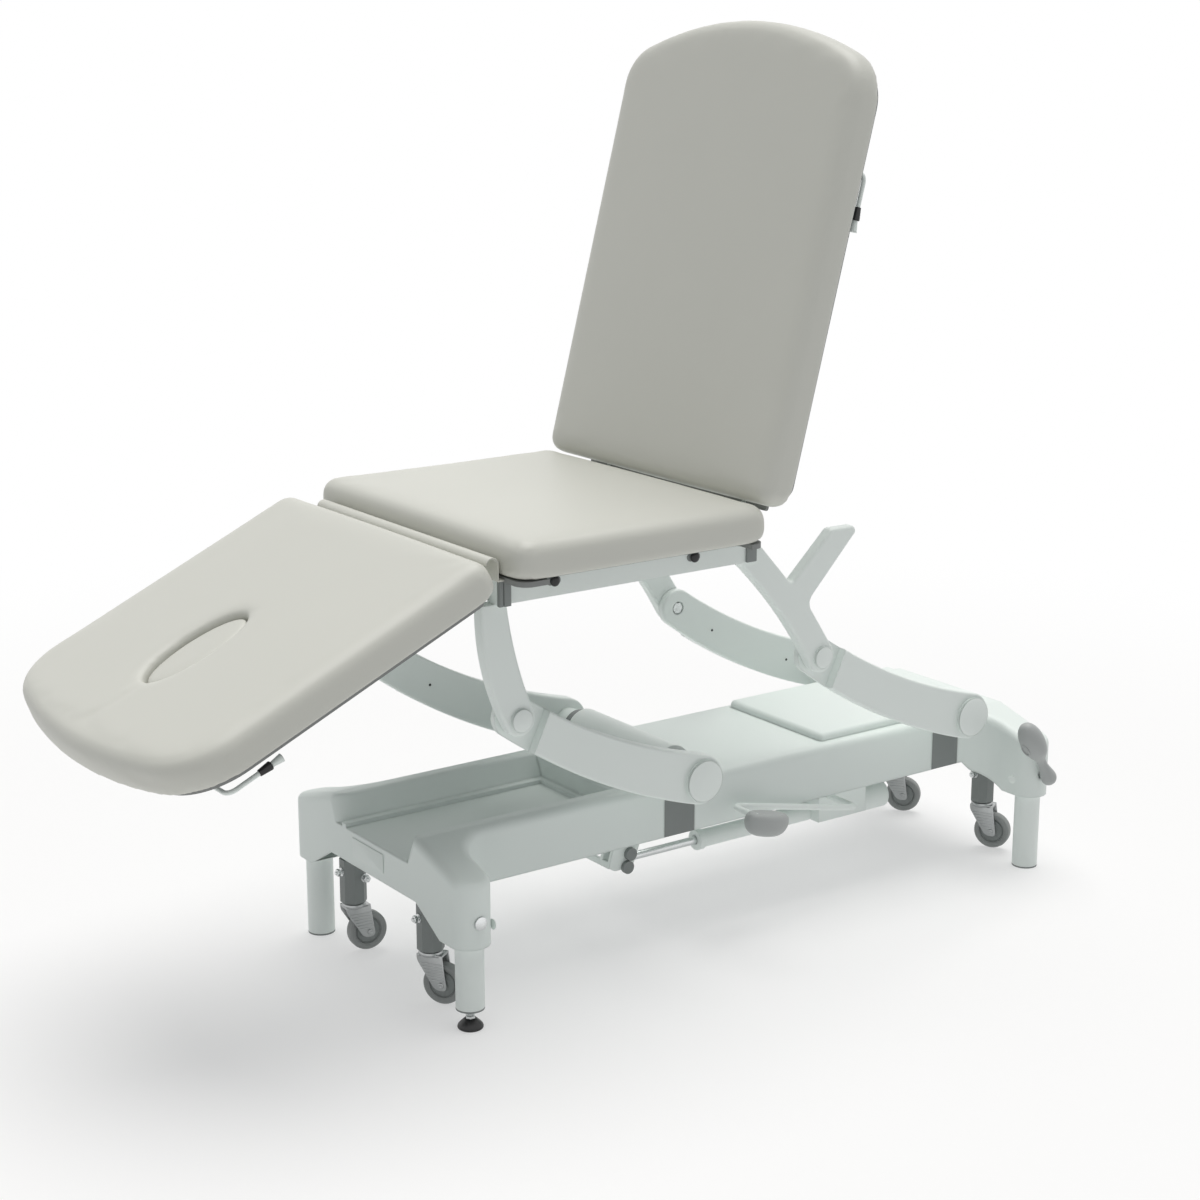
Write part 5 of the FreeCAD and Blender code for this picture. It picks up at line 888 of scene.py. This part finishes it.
rear_pivot_x = FRONT_PIVOT_X + ARM_SPACING
upper_pivots = (UPPER_PIVOT_X, UPPER_PIVOT_X + ARM_SPACING)
make_piece("front_arm_domes", "front_arms", [pale],
           [arm_dome(FRONT_PIVOT_X, side) for side in (-1, 1)], sharp=50)
make_piece("rear_arm_dome_near", "rear_arm_near", [pale], [arm_dome(rear_pivot_x, -1)],
           sharp=50)
make_piece("rear_arm_dome_far", "rear_arm_far", [pale], [arm_dome(rear_pivot_x, 1)],
           sharp=50)
pivot_domes = [dome((x, side * UPPER_CAP_Y, UPPER_PIVOT_Z), side, PIVOT_DOME_RADIUS, PIVOT_DOME_RISE)
               for x in upper_pivots for side in (-1, 1)]
make_piece("pivot_domes", "seat", [pale], pivot_domes, sharp=50)


# %% Arm screws
ARM_INNER_Y = 202
SCREW_RADIUS = 2.6
front_spots = ((-187, 468), (14, 372))
rear_spots = tuple((x + ARM_SPACING, z) for x, z in front_spots)


def screw_head(point, direction, radius):
    flat = radius * 0.45
    profile = [(0, 0.9), (flat, 0.9), (flat, 1.5), (radius * 0.8, 1.3), (radius, 0.2), (radius, -0.6),
               (0, -0.6)]
    return turned(profile, aimed(point, direction), steps=24)


for body, spots, side in (("front_arms", front_spots, -1), ("front_arms", front_spots, 1),
                          ("rear_arm_near", rear_spots, -1), ("rear_arm_far", rear_spots, 1)):
    forms = [screw_head((x, side * ARM_INNER_Y, z), (0, -side, 0), SCREW_RADIUS) for x, z in spots]
    make_piece("arm_screws_%s_%d" % (body, side + 1), body, [black], forms)

# %% Boss plugs
PLUG_Z = 189
plug_places = ((-363, 283, 1), (911, 255, -1))
plug_profile = [(0, 3.4), (5, 3.0), (8.4, 1.4), (9.6, -0.8), (0, -0.8)]
plugs = []
for side in (-1, 1):
    for x, y, along in plug_places:
        plugs.append(turned(plug_profile, aimed((x, side * y, PLUG_Z), (along, 0, 0)), steps=36))
make_piece("boss_plugs", "base", [pale], plugs)

# %% Mouth hatch and ram collar
HATCH_WIDE = 109
HATCH_HIGH = 36
HATCH_THICK = 0.8
hatch_corner = Vector((-437.6, 67, 221))
collar_at = (250, -60, 142)
hatch_turn = Matrix((Vector((0, -1, 0)), Vector((0, 0, 1)), Vector((-1, 0, 0)))).transposed().to_4x4()
hatch_place = Matrix.Translation(hatch_corner * MM) @ hatch_turn
hatch_outline = [(0, 0), (HATCH_WIDE, 0), (HATCH_WIDE, HATCH_HIGH), (0, HATCH_HIGH)]
hatch = pressed(hatch_outline, [2, 2, 0, 0], HATCH_THICK, hatch_place, 0.3)
make_piece("mouth_hatch", "base", [hatch_skin], [hatch])
collar_profile = [(8.6, -3), (19.4, -3), (20.4, -2), (20.4, 11), (19.4, 12), (17.0, 12), (8.6, -3)]
collar = turned(collar_profile, aimed(collar_at, (1, 0, 0)), edge=0.4)
make_piece("ram_collar", "base", [paint], [collar])
